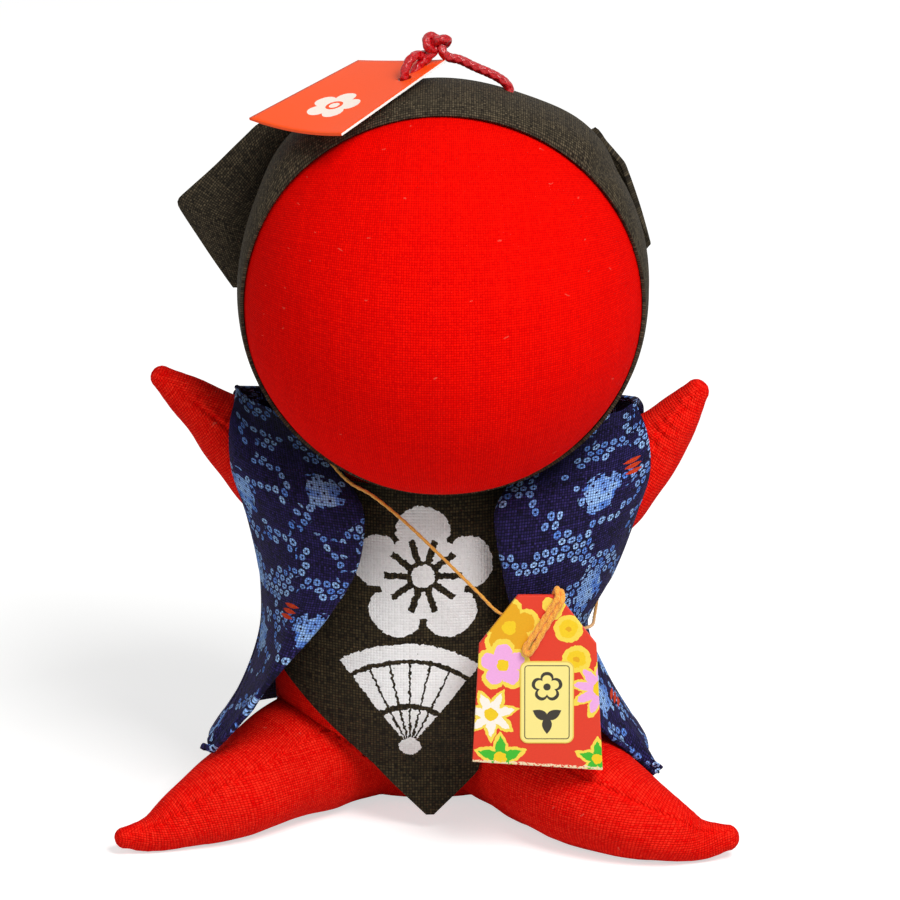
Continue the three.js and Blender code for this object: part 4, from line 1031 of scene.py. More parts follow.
def rings_and_leaves(tree, cloth, dye_and_highlight, height):
    """The print: rings in rows set half a step apart, thick patches where they merge, and red leaves."""
    bent = shaken(tree, cloth, 260.0, 1.0, 1.6 * MM)
    spaced = add(tree, "Mapping", {"Vector": bent, "Scale": SIDE_BY_SIDE})
    row = add(tree, "Math", add(tree, "SeparateXYZ", spaced).node.outputs["Y"], operation="FLOOR")
    odd = add(tree, "Math", row, 2.0, operation="FLOORED_MODULO")
    odd = add(tree, "Math", odd, 0.5, operation="MULTIPLY")
    shifted = add(tree, "VectorMath", spaced, add(tree, "CombineXYZ", odd, 0.0, 0.0), operation="ADD")
    cell = add(tree, "VectorMath", shifted, operation="FLOOR")
    centre = add(tree, "VectorMath", cell, (0.5, 0.5, 0.0), operation="ADD")
    jog = add(tree, "TexWhiteNoise", {"Vector": cell}, noise_dimensions="2D", out="Color")
    jog = add(tree, "VectorMath", jog, (0.5, 0.5, 0.5), operation="SUBTRACT")
    jog = add(tree, "VectorMath", jog, (RING_JOG, RING_JOG, 0.0), operation="MULTIPLY")
    centre = add(tree, "VectorMath", centre, jog, operation="ADD")
    off = add(tree, "VectorMath", shifted, centre, operation="SUBTRACT")
    off = add(tree, "VectorMath", off, (RING_PITCH, RING_PITCH * RING_ROWS, 0.0), operation="MULTIPLY")
    away = add(tree, "VectorMath", off, operation="LENGTH", out=1)
    within = add(tree, "Math", away, RING_OUT, operation="LESS_THAN")
    hole = add(tree, "Math", away, RING_IN, operation="GREATER_THAN")
    ring = add(tree, "Math", within, hole, operation="MULTIPLY")
    trail = add(tree, "TexNoise", {"Vector": cell, "Scale": 0.155, "Detail": 1.0})
    trail = add(tree, "Math", trail, 0.5, TRAIL_HALF, operation="COMPARE")
    spread = {"Vector": cloth, "Scale": 1000 / PATCH_EVERY, "Randomness": 0.75}
    patch = add(tree, "TexVoronoi", spread, voronoi_dimensions="2D")
    ragged = add(tree, "TexNoise", {"Vector": cell, "Scale": 0.9, "Detail": 0.0})
    patch = add(tree, "Math", ragged, PATCH_RAGGED, patch, operation="MULTIPLY_ADD")
    patch = add(tree, "Math", patch, PATCH_HALF / PATCH_EVERY + PATCH_RAGGED / 2, operation="LESS_THAN")
    filled = add(tree, "Math", away, PATCH_IN, operation="GREATER_THAN")
    thick = add(tree, "Math", patch, filled, operation="MULTIPLY")
    some = add(tree, "Math", ring, trail, operation="MULTIPLY")
    blue = add(tree, "Math", some, thick, operation="MAXIMUM")
    uneven = add(tree, "TexWhiteNoise", {"Vector": cell}, noise_dimensions="2D")
    deep, light = (colour(code) for code in RING_BLUES)
    pale = add(tree, "Mix", {0: uneven, 6: deep, 7: light}, data_type="RGBA", out=2)
    # Painted shade: the rings are darker in the gaps between threads and lighter on their crowns.
    painted_ring_shade = add(tree, "Math", height, 0.85, 0.30, operation="MULTIPLY_ADD")
    pale = add(tree, "VectorMath", {0: pale, "Scale": painted_ring_shade}, operation="SCALE")
    printed = add(tree, "Mix", {0: blue, 6: dye_and_highlight, 7: pale}, data_type="RGBA", out=2)
    apart = (1000 / LEAF_EVERY[0], 1000 / LEAF_EVERY[1], 1.0)
    lattice = add(tree, "Mapping", {"Vector": cloth, "Scale": apart})
    spot = add(tree, "VectorMath", lattice, operation="FRACTION")
    spot = add(tree, "VectorMath", spot, (0.5, 0.5, 0.0), operation="SUBTRACT")
    spot = add(tree, "VectorMath", spot, (*LEAF_EVERY, 0.0), operation="MULTIPLY")
    spot_x = add(tree, "SeparateXYZ", spot)
    spot_y = spot_x.node.outputs["Y"]
    lean = add(tree, "Math", spot_y, LEAF_LEAN, spot_x, operation="MULTIPLY_ADD")
    stripe = add(tree, "Math", spot_y, 1 / LEAF_STRIPE, 0.5, operation="MULTIPLY_ADD")
    stripe = add(tree, "Math", add(tree, "Math", stripe, operation="FRACT"), 0.5, operation="SUBTRACT")
    stripe = add(tree, "Math", stripe, operation="ABSOLUTE")
    tall = add(tree, "Math", spot_y, 0.0, LEAF_TALL, operation="COMPARE")
    wide = add(tree, "Math", add(tree, "Math", lean, operation="ABSOLUTE"), LEAF_WIDE, operation="DIVIDE")
    wide = add(tree, "Math", wide, 2.0, operation="POWER")
    leaf = add(tree, "Math", wide, LEAF_INK, stripe, operation="MULTIPLY_ADD")
    leaf = add(tree, "Math", leaf, LEAF_INK, operation="LESS_THAN")
    leaf = add(tree, "Math", leaf, tall, operation="MULTIPLY")
    inked = add(tree, "Math", add(tree, "Math", leaf, blue, operation="MAXIMUM"), 0.5, operation="MULTIPLY")
    return add(tree, "Mix", {0: leaf, 6: printed, 7: colour(LEAF_RED)}, data_type="RGBA", out=2), inked


indigo_cotton = cotton(
    "indigo cotton", "07051A", "352C6C", pitch=0.41, relief=0.12, depth=0.6, blotch=0.05,
    print_over=rings_and_leaves)
COAT_CLOTH, COAT_GAP = 0.62, 0.12
COAT_THICK, COAT_HEM = 1.25, 0.72
LEFT_FRONT_IN = [
    [-17.5, 1, 62.4], [-12.6, -8, 58.4], [-9.9, -14.2, 55], [-10.4, -15.6, 46.5], [-14.4, -16.2, 39],
    [-21.8, -15.9, 29.6], [-29.2, -12.6, 19.8], [-33.4, -9.4, 13.7]]
LEFT_FRONT_OUT = [
    [-28.6, 3, 67.5], [-29.4, -2.4, 64.5], [-29.2, -4.4, 58], [-26.8, -4, 49.5], [-24.9, -1.2, 38],
    [-24.9, -1.2, 30], [-27.8, -4, 22], [-33.2, -7.6, 14.4]]
RIGHT_FRONT_IN = [
    [18.5, 1, 61.5], [13, -8.5, 57.9], [10.4, -14.4, 54.5], [11.4, -15.8, 46], [13.6, -16.4, 37.5],
    [19, -16.6, 27.5], [27, -13.8, 18.2], [34.9, -12.4, 11.4]]
RIGHT_FRONT_OUT = [
    [31.4, 3, 65.4], [33, -2.8, 62], [33.2, -4.8, 57], [31.4, -5.2, 51], [28.3, -2.6, 41],
    [23.9, -1.2, 31.8], [27.6, -4, 22], [34.3, -10.4, 12]]
LEFT_BACK = [
    [-28.6, 4.6, 67.5], [-29, 9, 64], [-28.4, 10.4, 57.5], [-26.2, 8, 48.5], [-25, 0.6, 39],
    [-25.1, -0.1, 30], [-27.8, -2.8, 22.2], [-32.7, -6.2, 14.8]]
RIGHT_BACK = [
    [31.4, 4.6, 65.4], [32.4, 9.2, 62], [31.8, 11, 56], [29.6, 9.6, 48.5], [27.2, 1.4, 39],
    [24, -0.1, 31], [27.4, -2.8, 22.2], [33.2, -7.2, 12.9]]
BACK_MIDDLE = [
    [0, 13.4, 63.5], [0, 15.6, 57], [0, 16.6, 51], [0, 17.6, 44], [0, 19, 36], [0, 20.8, 28],
    [0, 23, 19], [0, 25, 11]]
HANDLE_ACROSS, HANDLE_DEEP, FRONT_BULGE = 0.82, 0.06, 0.6
BACK_OUT = 1.02
COAT_ROWS, FRONT_COLUMNS, BACK_COLUMNS = 130, 64, 150
SEW_FROM, SEW_WITHIN, SEW_GAP = 3.6, 2.2, 0.05
EDGE_ROLL, EDGE_ROLL_REACH = 1.1, 3.2
FRONT_FOLD, FRONT_SLACK = 0.35, 0.35
BACK_FOLD, BACK_SLACK = 0.75, 0.4


def line(points):
    """The smooth line through the points, with one place on it for each row of a panel."""
    points = np.array(points, float)
    return np.array([smooth(points, t) for t in np.linspace(0, 1, COAT_ROWS + 1)])


def sewn(front, back):
    """Brings two edges together where they run close, as at a shoulder or a side seam."""
    between = (front + back) / 2
    apart = back - front
    width = np.linalg.norm(apart, axis=1)[:, None]
    close = np.clip((SEW_FROM - width) / (SEW_FROM - SEW_WITHIN), 0, 1)
    half = apart / width * (COAT_CLOTH / 2 + SEW_GAP)
    return front + (between - half - front) * close, back + (between + half - back) * close


left_front, left_back = sewn(line(LEFT_FRONT_OUT), line(LEFT_BACK))
right_front, right_back = sewn(line(RIGHT_FRONT_OUT), line(RIGHT_BACK))


def outward(grid):
    """The way out of a grid of points, at each point."""
    across = np.gradient(grid, axis=1)
    down = np.gradient(grid, axis=0)
    way = np.cross(across, down)
    return way / np.maximum(np.linalg.norm(way, axis=2), 1e-9)[:, :, None]


def front_panel(inner, outer, side):
    """A front: an arched panel from its front edge, which rolls in, to its side edge."""
    rows, columns = COAT_ROWS + 1, FRONT_COLUMNS + 1
    grid = np.zeros((rows, columns, 3))
    for r in range(rows):
        a, c = inner[r], outer[r]
        b = np.array([a[0] + (c[0] - a[0]) * HANDLE_ACROSS,
                      a[1] + (c[1] - a[1]) * HANDLE_DEEP - FRONT_BULGE, (a[2] + c[2]) / 2])
        for k in range(columns):
            u = k / FRONT_COLUMNS
            grid[r, k] = a * (1 - u) ** 2 + b * 2 * u * (1 - u) + c * u * u
    way = outward(grid) * side
    for r in range(rows):
        v = r / COAT_ROWS
        for k in range(columns):
            u = k / FRONT_COLUMNS
            from_edge = np.linalg.norm(grid[r, k] - grid[r, 0])
            rolled = -EDGE_ROLL * max(1 - from_edge / EDGE_ROLL_REACH, 0) ** 2 * min(v / 0.25, 1)
            fold = FRONT_FOLD * math.sin(u * 5.2 + v * 2.5) * math.sin(math.pi * u) * (0.4 + v)
            slack = FRONT_SLACK * noise.noise(Vector((u * 3, v * 5, side * 4)))
            grid[r, k] = grid[r, k] + way[r, k] * (rolled + (fold + slack) * math.sin(math.pi * u))
    return grid


def back_panel():
    """The back: each row is one bow from side to side, through the middle line."""
    grid = np.zeros((COAT_ROWS + 1, BACK_COLUMNS + 1, 3))
    spine = line(BACK_MIDDLE)
    for r in range(COAT_ROWS + 1):
        left, right, middle = left_back[r], right_back[r], spine[r]
        handle_y = (8 * middle[1] - left[1] - right[1]) / 6
        handle_z = (8 * middle[2] - left[2] - right[2]) / 6
        near_left = np.array([left[0] * BACK_OUT, handle_y, handle_z])
        near_right = np.array([right[0] * BACK_OUT, handle_y, handle_z])
        for k in range(BACK_COLUMNS + 1):
            u = k / BACK_COLUMNS
            w = 1 - u
            grid[r, k] = (left * w ** 3 + near_left * 3 * w * w * u
                          + near_right * 3 * w * u * u + right * u ** 3)
    way = -outward(grid)
    for r in range(COAT_ROWS + 1):
        v = r / COAT_ROWS
        for k in range(BACK_COLUMNS + 1):
            u = k / BACK_COLUMNS
            fold = BACK_FOLD * v ** 1.5 * math.sin(u * 25 + 0.7) * math.sin(math.pi * u)
            slack = BACK_SLACK * noise.noise(Vector((u * 6, v * 5, 2.5))) * math.sin(math.pi * u)
            grid[r, k] = grid[r, k] + way[r, k] * (fold + slack)
    return grid


def cut_to_leaf(grid, cloth, leaf):
    """Shifts the cloth so that a leaf of its print comes at that place, seen from the camera.

    The cut starts four leaves into the print, so that no place on the cloth is below nought.
    """
    height = grid[:, :, 2] * math.cos(VIEW_RISE) + grid[:, :, 1] * math.sin(VIEW_RISE)
    away = (grid[:, :, 0] - leaf[0]) ** 2 + (height - leaf[1]) ** 2
    there = cloth[np.unravel_index(np.argmin(away), away.shape)]
    middle = np.array(LEAF_EVERY) * MM / 2
    return cloth - there + middle + 4 * np.array(LEAF_EVERY) * MM


panels = {
    "coat_left_front": (front_panel(line(LEFT_FRONT_IN), left_front, 1), (-20.5, 30.9), (0.022, 0.062)),
    "coat_right_front": (front_panel(line(RIGHT_FRONT_IN), right_front, -1), (30.8, 52.4), (0.025, 0.062)),
    "coat_back": (back_panel(), (12.0, 38.0), (0.085, 0.060)),
}
for name, (grid, leaf, flat) in panels.items():
    grid = clear_grid(grid, body, COAT_CLOTH / 2 + COAT_GAP)
    grid = clear_grid(grid, hood_trees, COAT_CLOTH / 2 + COAT_GAP, rounds=1)
    cloth = cut_to_leaf(grid, measured(grid, (0, 0)), leaf)
    piece = sheet_object(f"{name}_panel", grid, cloth, COAT_CLOTH * COAT_THICK, hem=COAT_HEM)
    welded(piece, 1e-7)
    piece.data.materials.append(indigo_cotton)
    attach(piece, "doll")
    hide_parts(name)


# Amulet: a card folded in printed flower paper, house-shaped, with a cream label stuck on its front
# and a loop of thick orange thread through its top. It hangs from the neck thread and leans a little.
AMULET_TOP = np.array([16.6, -18.8, 42.8])
AMULET_LEAN = math.radians(5)
CARD_LENGTH, CARD_BOTTOM, CARD_SHOULDER, CARD_TOP = 26.7, 19.6, 17.6, 6.0
CARD_DROP, CARD_THICK, CARD_ROUND = 7.6, 0.9, 0.16
FOOT_SLANT, FOOT_SPARE, FOOT_SCUFF = 0.064, 0.7, 0.45
GOLD, SUN, PINK, SNOW, LEAF_GREEN = "E8A90A", "F5CE16", "F3AEE6", "FFF6EA", "3CB828"
PAPER_RED, OUTLINE, BARE_PAPER = "E23A20", "F8DC4E", "F2DDB4"
OUTLINE_OUT, OUTLINE_IN, HEART = 0.22, 0.55, 0.24
FLOWERS = [
    # across, up, petals, radius, notch, sharpness, ink, heart
    (-4.3, -5.0, 5, 4.5, 0.3, 2.4, GOLD, SUN),
    (-5.2, -10.9, 5, 3.9, 0.3, 2.4, PINK, SUN),
    (-7.0, -18.6, 7, 4.2, 0.5, 0.9, SNOW, SUN),
    (-5.6, -25.4, 5, 4.0, 0.55, 0.8, LEAF_GREEN, SUN),
    (4.6, -5.2, 1, 2.0, 0.06, 2.0, SUN, GOLD),
    (5.8, -10.0, 1, 2.0, 0.06, 2.0, SUN, GOLD),
    (9.4, -14.6, 9, 4.6, 0.45, 1.3, PINK, SUN),
    (9.0, -25.6, 5, 3.4, 0.55, 0.8, LEAF_GREEN, SUN),
    (2.4, -1.8, 3, 1.7, 0.35, 1.6, OUTLINE, GOLD),
]


def only_selected(piece):
    """Selects this piece alone and makes it the active one."""
    bpy.ops.object.select_all(action="DESELECT")
    piece.select_set(True)
    bpy.context.view_layer.objects.active = piece


def box_piece(name, low, high):
    """A block between two corners, in the piece's own millimetres."""
    bpy.ops.object.select_all(action="DESELECT")
    middle = [(a + b) / 2 * MM for a, b in zip(low, high)]
    size = [(b - a) * MM for a, b in zip(low, high)]
    bpy.ops.mesh.primitive_cube_add(size=1, location=middle, scale=size)
    piece = bpy.context.object
    piece.name = name
    bpy.ops.object.transform_apply(location=True, rotation=True, scale=True)
    return piece


def trimmed(piece, through, facing):
    """Cuts away what lies beyond a plane through a place, on the side it faces."""
    only_selected(piece)
    bpy.ops.object.mode_set(mode="EDIT")
    bpy.ops.mesh.select_all(action="SELECT")
    bpy.ops.mesh.bisect(plane_co=[c * MM for c in through], plane_no=facing, use_fill=True, clear_outer=True)
    bpy.ops.object.mode_set(mode="OBJECT")


def rounded(piece, width, segments, angle):
    """Rounds the edges that are sharper than the angle, given in degrees."""
    bevel = piece.modifiers.new("round", "BEVEL")
    bevel.width = width * MM
    bevel.segments = segments
    bevel.limit_method = "ANGLE"
    bevel.angle_limit = math.radians(angle)
    only_selected(piece)
    bpy.ops.object.modifier_apply(modifier="round")


def flat_uv(piece, place, right, upward):
    """The piece's own flat measure: metres to the right of and above a place."""
    layer = piece.data.uv_layers.new(name="cloth")
    for corner in piece.data.loops:
        away = piece.data.vertices[corner.vertex_index].co - Vector(place)
        layer.data[corner.index].uv = (away.dot(Vector(right)), away.dot(Vector(upward)))


def hang_amulet(piece):
    """Moves a piece from the amulet's own place, its top at the origin, to where it hangs."""
    lean = Matrix.Rotation(-AMULET_LEAN, 4, "X")
    piece.data.transform(Matrix.Translation(Vector(at(AMULET_TOP))) @ lean)
    piece.data.update()


card_foot = -CARD_LENGTH - FOOT_SPARE
card = box_piece("amulet_card_folded", (-CARD_BOTTOM / 2, -CARD_THICK, card_foot), (CARD_BOTTOM / 2, 0, 0))
trimmed(card, (0, 0, -CARD_LENGTH), (-FOOT_SLANT, 0, -1))
for side in (-1, 1):
    slope = Vector((side * CARD_DROP, 0, (CARD_SHOULDER - CARD_TOP) / 2)).normalized()
    trimmed(card, (side * CARD_TOP / 2, 0, 0), slope)
    flank = Vector((side * (CARD_LENGTH - CARD_DROP), 0, (CARD_BOTTOM - CARD_SHOULDER) / 2)).normalized()
    trimmed(card, (side * CARD_SHOULDER / 2, 0, -CARD_DROP), flank)
rounded(card, CARD_ROUND, 3, angle=50)
flat_uv(card, (0, 0, 0), (1, 0, 0), (0, 0, 1))
hang_amulet(card)

# Printed paper: smooth coated paper with flowers in yellow outlines, worn pale along its lower fold.
flower_paper, tree = finish("printed flower paper")
paper = add(tree, "UVMap", uv_map="cloth")
across = add(tree, "SeparateXYZ", shaken(tree, paper, 1300.0, 2.0, 0.7 * MM))
upward = across.node.outputs["Y"]
inks = colour(PAPER_RED)
for right, up, count, radius, notch, sharp, ink, heart_ink in FLOWERS:
    x = add(tree, "Math", across, right * MM, operation="SUBTRACT")
    y = add(tree, "Math", upward, up * MM, operation="SUBTRACT")
    outside, away, _ = petals(tree, x, y, count, radius * MM, notch, sharp, PETAL_TURN)
    edge = add(tree, "Math", outside, OUTLINE_OUT * MM, operation="LESS_THAN")
    fill = add(tree, "Math", outside, -OUTLINE_IN * MM, operation="LESS_THAN")
    heart = add(tree, "Math", away, radius * MM * HEART, operation="LESS_THAN")
    for cover, code in ((edge, OUTLINE), (fill, ink), (heart, heart_ink)):
        inks = add(tree, "Mix", {0: cover, 6: inks, 7: colour(code)}, data_type="RGBA", out=2)
worn = add(tree, "TexNoise", {"Vector": paper, "Scale": 2600.0, "Detail": 3.0})
along_foot = add(tree, "Math", across, FOOT_SLANT, upward, operation="MULTIPLY_ADD")
near_foot = add(tree, "Math", along_foot, -(CARD_LENGTH - FOOT_SCUFF) * MM, operation="LESS_THAN")
scuffed = add(tree, "Math", worn, 0.45, operation="GREATER_THAN")
scuffed = add(tree, "Math", scuffed, near_foot, operation="MULTIPLY")
inks = add(tree, "Mix", {0: scuffed, 6: inks, 7: colour(BARE_PAPER)}, data_type="RGBA", out=2)
grain = add(tree, "TexNoise", {"Vector": paper, "Scale": 3800.0, "Detail": 3.0})
tone = add(tree, "Math", grain, 0.16, 0.92, operation="MULTIPLY_ADD")
inks = add(tree, "VectorMath", {0: inks, "Scale": tone}, operation="SCALE")
ridge = add(tree, "Bump", {"Strength": 0.4, "Distance": 0.00003, "Height": grain})
add(tree, "OutputMaterial", add(tree, "BsdfPrincipled", {
    "Base Color": inks, "Roughness": 0.5, "Normal": ridge, "Specular IOR Level": 0.4}))
card.data.materials.append(flower_paper)
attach(card, "amulet")
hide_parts("amulet_card")


# Label: a small sticker of cream paper with round corners, stuck on the card. A thin black line runs
# inside its edge, round a small flower above three leaves.
LABEL = {"width": 8.1, "length": 12.9, "drop": 10.2, "across": 1.4, "paper": 0.09, "corner": 1.2}
LABEL_GLUE, LABEL_ROUND = 0.03, 0.025
LABEL_LINE_IN, LABEL_LINE_HALF, LABEL_RIM = 0.72, 0.07, 0.2
BLOOM_UP, BLOOM_RADIUS, BLOOM_LINE, BLOOM_EYE = 2.4, 2.1, 0.26, 0.55
LEAVES_UP, LEAVES_RADIUS = -2.5, 2.5
CREAM, GILT, LABEL_INK = "FBEA8C", "E9CC58", "2A2418"
label_left, label_foot = LABEL["across"] - LABEL["width"] / 2, -LABEL["drop"] - LABEL["length"]
label_back = -CARD_THICK - LABEL_GLUE
label = box_piece(
    "amulet_label_stuck",
    (label_left, label_back - LABEL["paper"], label_foot),
    (label_left + LABEL["width"], label_back, -LABEL["drop"]),
)
only_selected(label)
bpy.ops.object.mode_set(mode="EDIT")
bpy.ops.mesh.select_mode(type="EDGE")
bpy.ops.mesh.select_all(action="DESELECT")
bpy.ops.object.mode_set(mode="OBJECT")
for side in label.data.edges:
    a, b = (label.data.vertices[i].co for i in side.vertices)
    side.select = abs(a.y - b.y) > 1e-6
bpy.ops.object.mode_set(mode="EDIT")
bpy.ops.mesh.bevel(offset=LABEL["corner"] * MM, segments=6, affect="EDGES")
bpy.ops.object.mode_set(mode="OBJECT")
rounded(label, LABEL_ROUND, 2, angle=60)
label_middle = Vector((LABEL["across"], 0, -LABEL["drop"] - LABEL["length"] / 2)) * MM
flat_uv(label, label_middle, (1, 0, 0), (0, 0, 1))
hang_amulet(label)

# Printed sticker: smooth cream paper, a little glossy, with dark ink and a gilt rim.
sticker, tree = finish("printed sticker")
paper = add(tree, "UVMap", uv_map="cloth")
across = add(tree, "SeparateXYZ", paper)
upward = across.node.outputs["Y"]
reach = add(tree, "VectorMath", paper, operation="ABSOLUTE")
half = ((LABEL["width"] / 2 - LABEL["corner"]) * MM, (LABEL["length"] / 2 - LABEL["corner"]) * MM, 0.0)
reach = add(tree, "VectorMath", reach, half, operation="SUBTRACT")
reach = add(tree, "VectorMath", reach, (0, 0, 0), operation="MAXIMUM")
edge = add(tree, "VectorMath", reach, operation="LENGTH", out=1)
inset = (LABEL["corner"] - LABEL_LINE_IN) * MM
border = add(tree, "Math", edge, inset, LABEL_LINE_HALF * MM, operation="COMPARE")
y = add(tree, "Math", upward, BLOOM_UP * MM, operation="SUBTRACT")
outside, away, _ = petals(tree, across, y, 5, BLOOM_RADIUS * MM, 0.34, 2.4, PETAL_TURN)
bloom = add(tree, "Math", outside, 0.0, BLOOM_LINE * MM, operation="COMPARE")
eye = add(tree, "Math", away, BLOOM_EYE * MM, operation="LESS_THAN")
bloom = add(tree, "Math", bloom, eye, operation="MAXIMUM")
y = add(tree, "Math", upward, LEAVES_UP * MM, operation="SUBTRACT")
outside, _, _ = petals(tree, across, y, 3, LEAVES_RADIUS * MM, 0.75, 0.8, PETAL_TURN)
leaves = add(tree, "Math", outside, 0.0, operation="LESS_THAN")
ink = add(tree, "Math", add(tree, "Math", bloom, leaves, operation="MAXIMUM"), border, operation="MAXIMUM")
rim = add(tree, "Math", edge, (LABEL["corner"] - LABEL_RIM) * MM, operation="GREATER_THAN")
cream = add(tree, "Mix", {0: rim, 6: colour(CREAM), 7: colour(GILT)}, data_type="RGBA", out=2)
printed = add(tree, "Mix", {0: ink, 6: cream, 7: colour(LABEL_INK)}, data_type="RGBA", out=2)
glossy = add(tree, "BsdfPrincipled", {"Base Color": printed, "Roughness": 0.38, "Specular IOR Level": 0.45})
add(tree, "OutputMaterial", glossy)
label.data.materials.append(sticker)
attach(label, "amulet")
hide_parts("amulet_label")


# Loop: thick soft orange thread, doubled, from behind the card over its top edge and down its front
# to just above the label. It swings with the card.
LOOP_THREAD, LOOP_SIDES, LOOP_STEP = 0.9, 20, 0.12
LOOP_TOP, LOOP_END = np.array([2.6, 0, -1.6]), np.array([-1.6, 0, -8.6])
LOOP_OVER, LOOP_BEHIND = np.array([3.2, -0.45, 0.75]), np.array([2.4, 0.65, -2.6])
LOOP_GAP, LOOP_APART, LOOP_RISE = 0.12, 0.43, 1.2
SOFT_LAY, SOFT_RISE, SOFT_GAP = 3.4, 0.13, 0.1
way = (LOOP_END - LOOP_TOP) / np.linalg.norm(LOOP_END - LOOP_TOP)
aside = np.array([-way[2], 0, way[0]]) * LOOP_APART
deep = np.array([0, -CARD_THICK - LOOP_GAP - LOOP_THREAD / 2, 0])
halfway = (LOOP_TOP + LOOP_END) / 2
down, up = ([
    LOOP_BEHIND + shift, LOOP_OVER + shift, LOOP_TOP + shift - way * LOOP_RISE + deep,
    LOOP_TOP + shift + deep, halfway + shift + deep, LOOP_END + shift + deep,
] for shift in (aside, -aside))
loop_route = [*down, LOOP_END + way * LOOP_APART + deep + (0, 0.1, 0), *up[::-1]]
lean = np.array(Matrix.Rotation(-AMULET_LEAN, 3, "X"))
loop_line = even(np.array(loop_route) @ lean.T + AMULET_TOP, LOOP_STEP)


def soft_plies(turn, run):
    """Two thick plies, more open than those of the neck thread."""
    return SOFT_RISE * abs(math.cos(turn + 2 * math.pi * run / SOFT_LAY)) - SOFT_GAP


loop = cord_mesh("amulet_loop_thread", loop_line, LOOP_THREAD, LOOP_SIDES, soft_plies)
loop.data.materials.append(thread_finish("soft spun thread", "E07A0C", "FFC04A", 0.7))
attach(loop, "amulet")
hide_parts("amulet_loop")


# Tag: a piece of vermilion card with a white core, slit for the cord, lying on the crown. It is bent
# and twisted a little, as it lies half on the hood and half in the air.
TAG = {"width": 18.5, "length": 24.5, "card": 0.36, "cuts": 31}
TAG_CENTRE = CROWN + (-14.06, 2.15, -1.1)
TAG_NORMAL = Vector((-0.238, 0.012, 0.971)).normalized()
TAG_ACROSS = Vector((0.725, -0.663, 0.186))
SLIT = {"place": (6.0, 6.1, 0), "radius": 1.2, "narrow": 0.72, "deep": 4}
TAG_SAG, TAG_TWIST, TAG_TILT = 0.75, 0.64, 0.19
TAG_BLOOM_UP, TAG_BLOOM_RADIUS = -3.5, 4.2
TAG_EYE, TAG_EYE_HALF = 1.1, 0.28
VERMILION, TAG_INK = "FF5208", "FFF1E4"
CORE_DARK, CORE_LIGHT = "EFE6DC", "FFFFFF"
tag_half = np.array([TAG["width"] / 2, TAG["length"] / 2])
tag = box_piece("tag_card", (*-tag_half, 0), (*tag_half, TAG["card"]))
only_selected(tag)
bpy.ops.object.mode_set(mode="EDIT")
bpy.ops.mesh.select_all(action="SELECT")
bpy.ops.mesh.subdivide(number_cuts=TAG["cuts"])
bpy.ops.object.mode_set(mode="OBJECT")
bpy.ops.object.select_all(action="DESELECT")
bpy.ops.mesh.primitive_cylinder_add(
    vertices=32, radius=SLIT["radius"] * MM, depth=SLIT["deep"] * MM,
    location=[c * MM for c in SLIT["place"]], scale=(1.0, SLIT["narrow"], 1.0))
punch = bpy.context.object
hole = tag.modifiers.new("slit", "BOOLEAN")
hole.object = punch
hole.operation = "DIFFERENCE"
hole.solver = "EXACT"
only_selected(tag)
bpy.ops.object.modifier_apply(modifier="slit")
bpy.data.objects.remove(punch)
for v in tag.data.vertices:
    x, y = np.array(v.co.xy) / MM / tag_half
    twist = TAG_TWIST * (1 - x * y) + TAG_TILT * (x - y)
    v.co.z -= (twist + TAG_SAG * (1 - x * x) * (0.6 - 0.4 * y)) * MM
flat_uv(tag, (0, 0, 0), (1, 0, 0), (0, 1, 0))
for face in tag.data.polygons:
    face.use_smooth = abs(face.normal.z) > 0.5

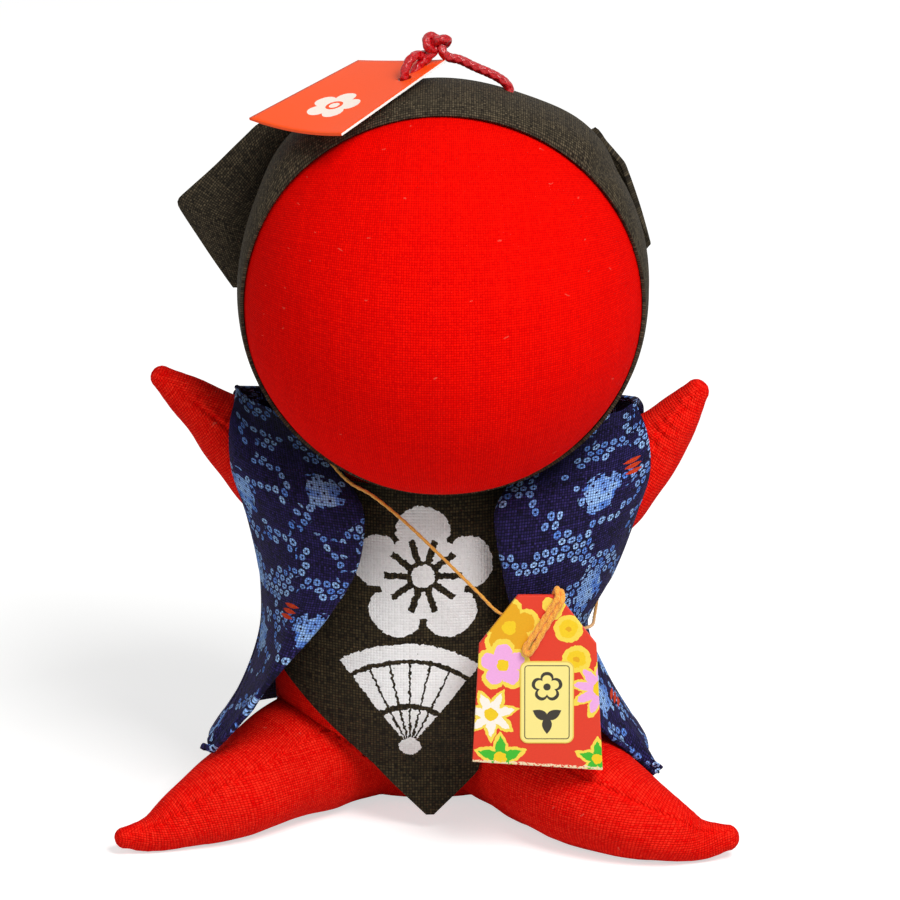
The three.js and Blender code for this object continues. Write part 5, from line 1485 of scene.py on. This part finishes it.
# Dyed card: smooth, matt vermilion with a faint grain, and a blossom printed in cream.
dyed_card, tree = finish("dyed card")
paper = add(tree, "UVMap", uv_map="cloth")
grain = add(tree, "TexNoise", {"Vector": paper, "Scale": 2400.0, "Detail": 4.0})
across = add(tree, "SeparateXYZ", paper)
y = add(tree, "Math", across.node.outputs["Y"], TAG_BLOOM_UP * MM, operation="SUBTRACT")
outside, away, _ = petals(tree, across, y, 5, TAG_BLOOM_RADIUS * MM, 0.34, 2.4, PETAL_TURN)
bloom = add(tree, "Math", outside, 0.0, operation="LESS_THAN")
eye = add(tree, "Math", away, TAG_EYE * MM, TAG_EYE_HALF * MM, operation="COMPARE")
bloom = add(tree, "Math", bloom, eye, operation="SUBTRACT", use_clamp=True)
inked = add(tree, "Mix", {0: bloom, 6: colour(VERMILION), 7: colour(TAG_INK)}, data_type="RGBA", out=2)
tone = add(tree, "Math", grain, 0.14, 0.93, operation="MULTIPLY_ADD")
inked = add(tree, "VectorMath", {0: inked, "Scale": tone}, operation="SCALE")
ridge = add(tree, "Bump", {"Strength": 0.3, "Distance": 0.00003, "Height": grain})
add(tree, "OutputMaterial", add(tree, "BsdfPrincipled", {
    "Base Color": inked, "Roughness": 0.55, "Normal": ridge, "Specular IOR Level": 0.35}))

# White card core: rough, soft fibres that show where the card is cut.
card_core, tree = finish("white card core")
paper = add(tree, "UVMap", uv_map="cloth")
fibres = add(tree, "TexNoise", {"Vector": paper, "Scale": 5200.0, "Detail": 4.0})
tone = add(tree, "ValToRGB", fibres)
tone.node.color_ramp.elements[0].color = colour(CORE_DARK)
tone.node.color_ramp.elements[1].color = colour(CORE_LIGHT)
add(tree, "OutputMaterial", add(tree, "BsdfPrincipled", {"Base Color": tone, "Roughness": 0.9}))
tag.data.materials.append(dyed_card)
tag.data.materials.append(card_core)
for face in tag.data.polygons:
    face.material_index = 1 if abs(face.normal.x) > 0.7 else 0
tag_along = TAG_NORMAL.cross(TAG_ACROSS).normalized()
tag_side = tag_along.cross(TAG_NORMAL).normalized()
turned = Matrix((tag_side, tag_along, TAG_NORMAL)).transposed().to_4x4()
tag.data.transform(Matrix.Translation(Vector(at(TAG_CENTRE))) @ turned)
tag.data.update()
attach(tag, "tag")
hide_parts("tag")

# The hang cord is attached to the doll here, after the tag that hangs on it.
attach(hang_cord, "doll")
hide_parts("hang_knot", "hang_cord_exit", "hang_cord_tag")
tuple(at(cord_to_crown[-1]))
[tuple(p) for p in at(cord_line[::4])]
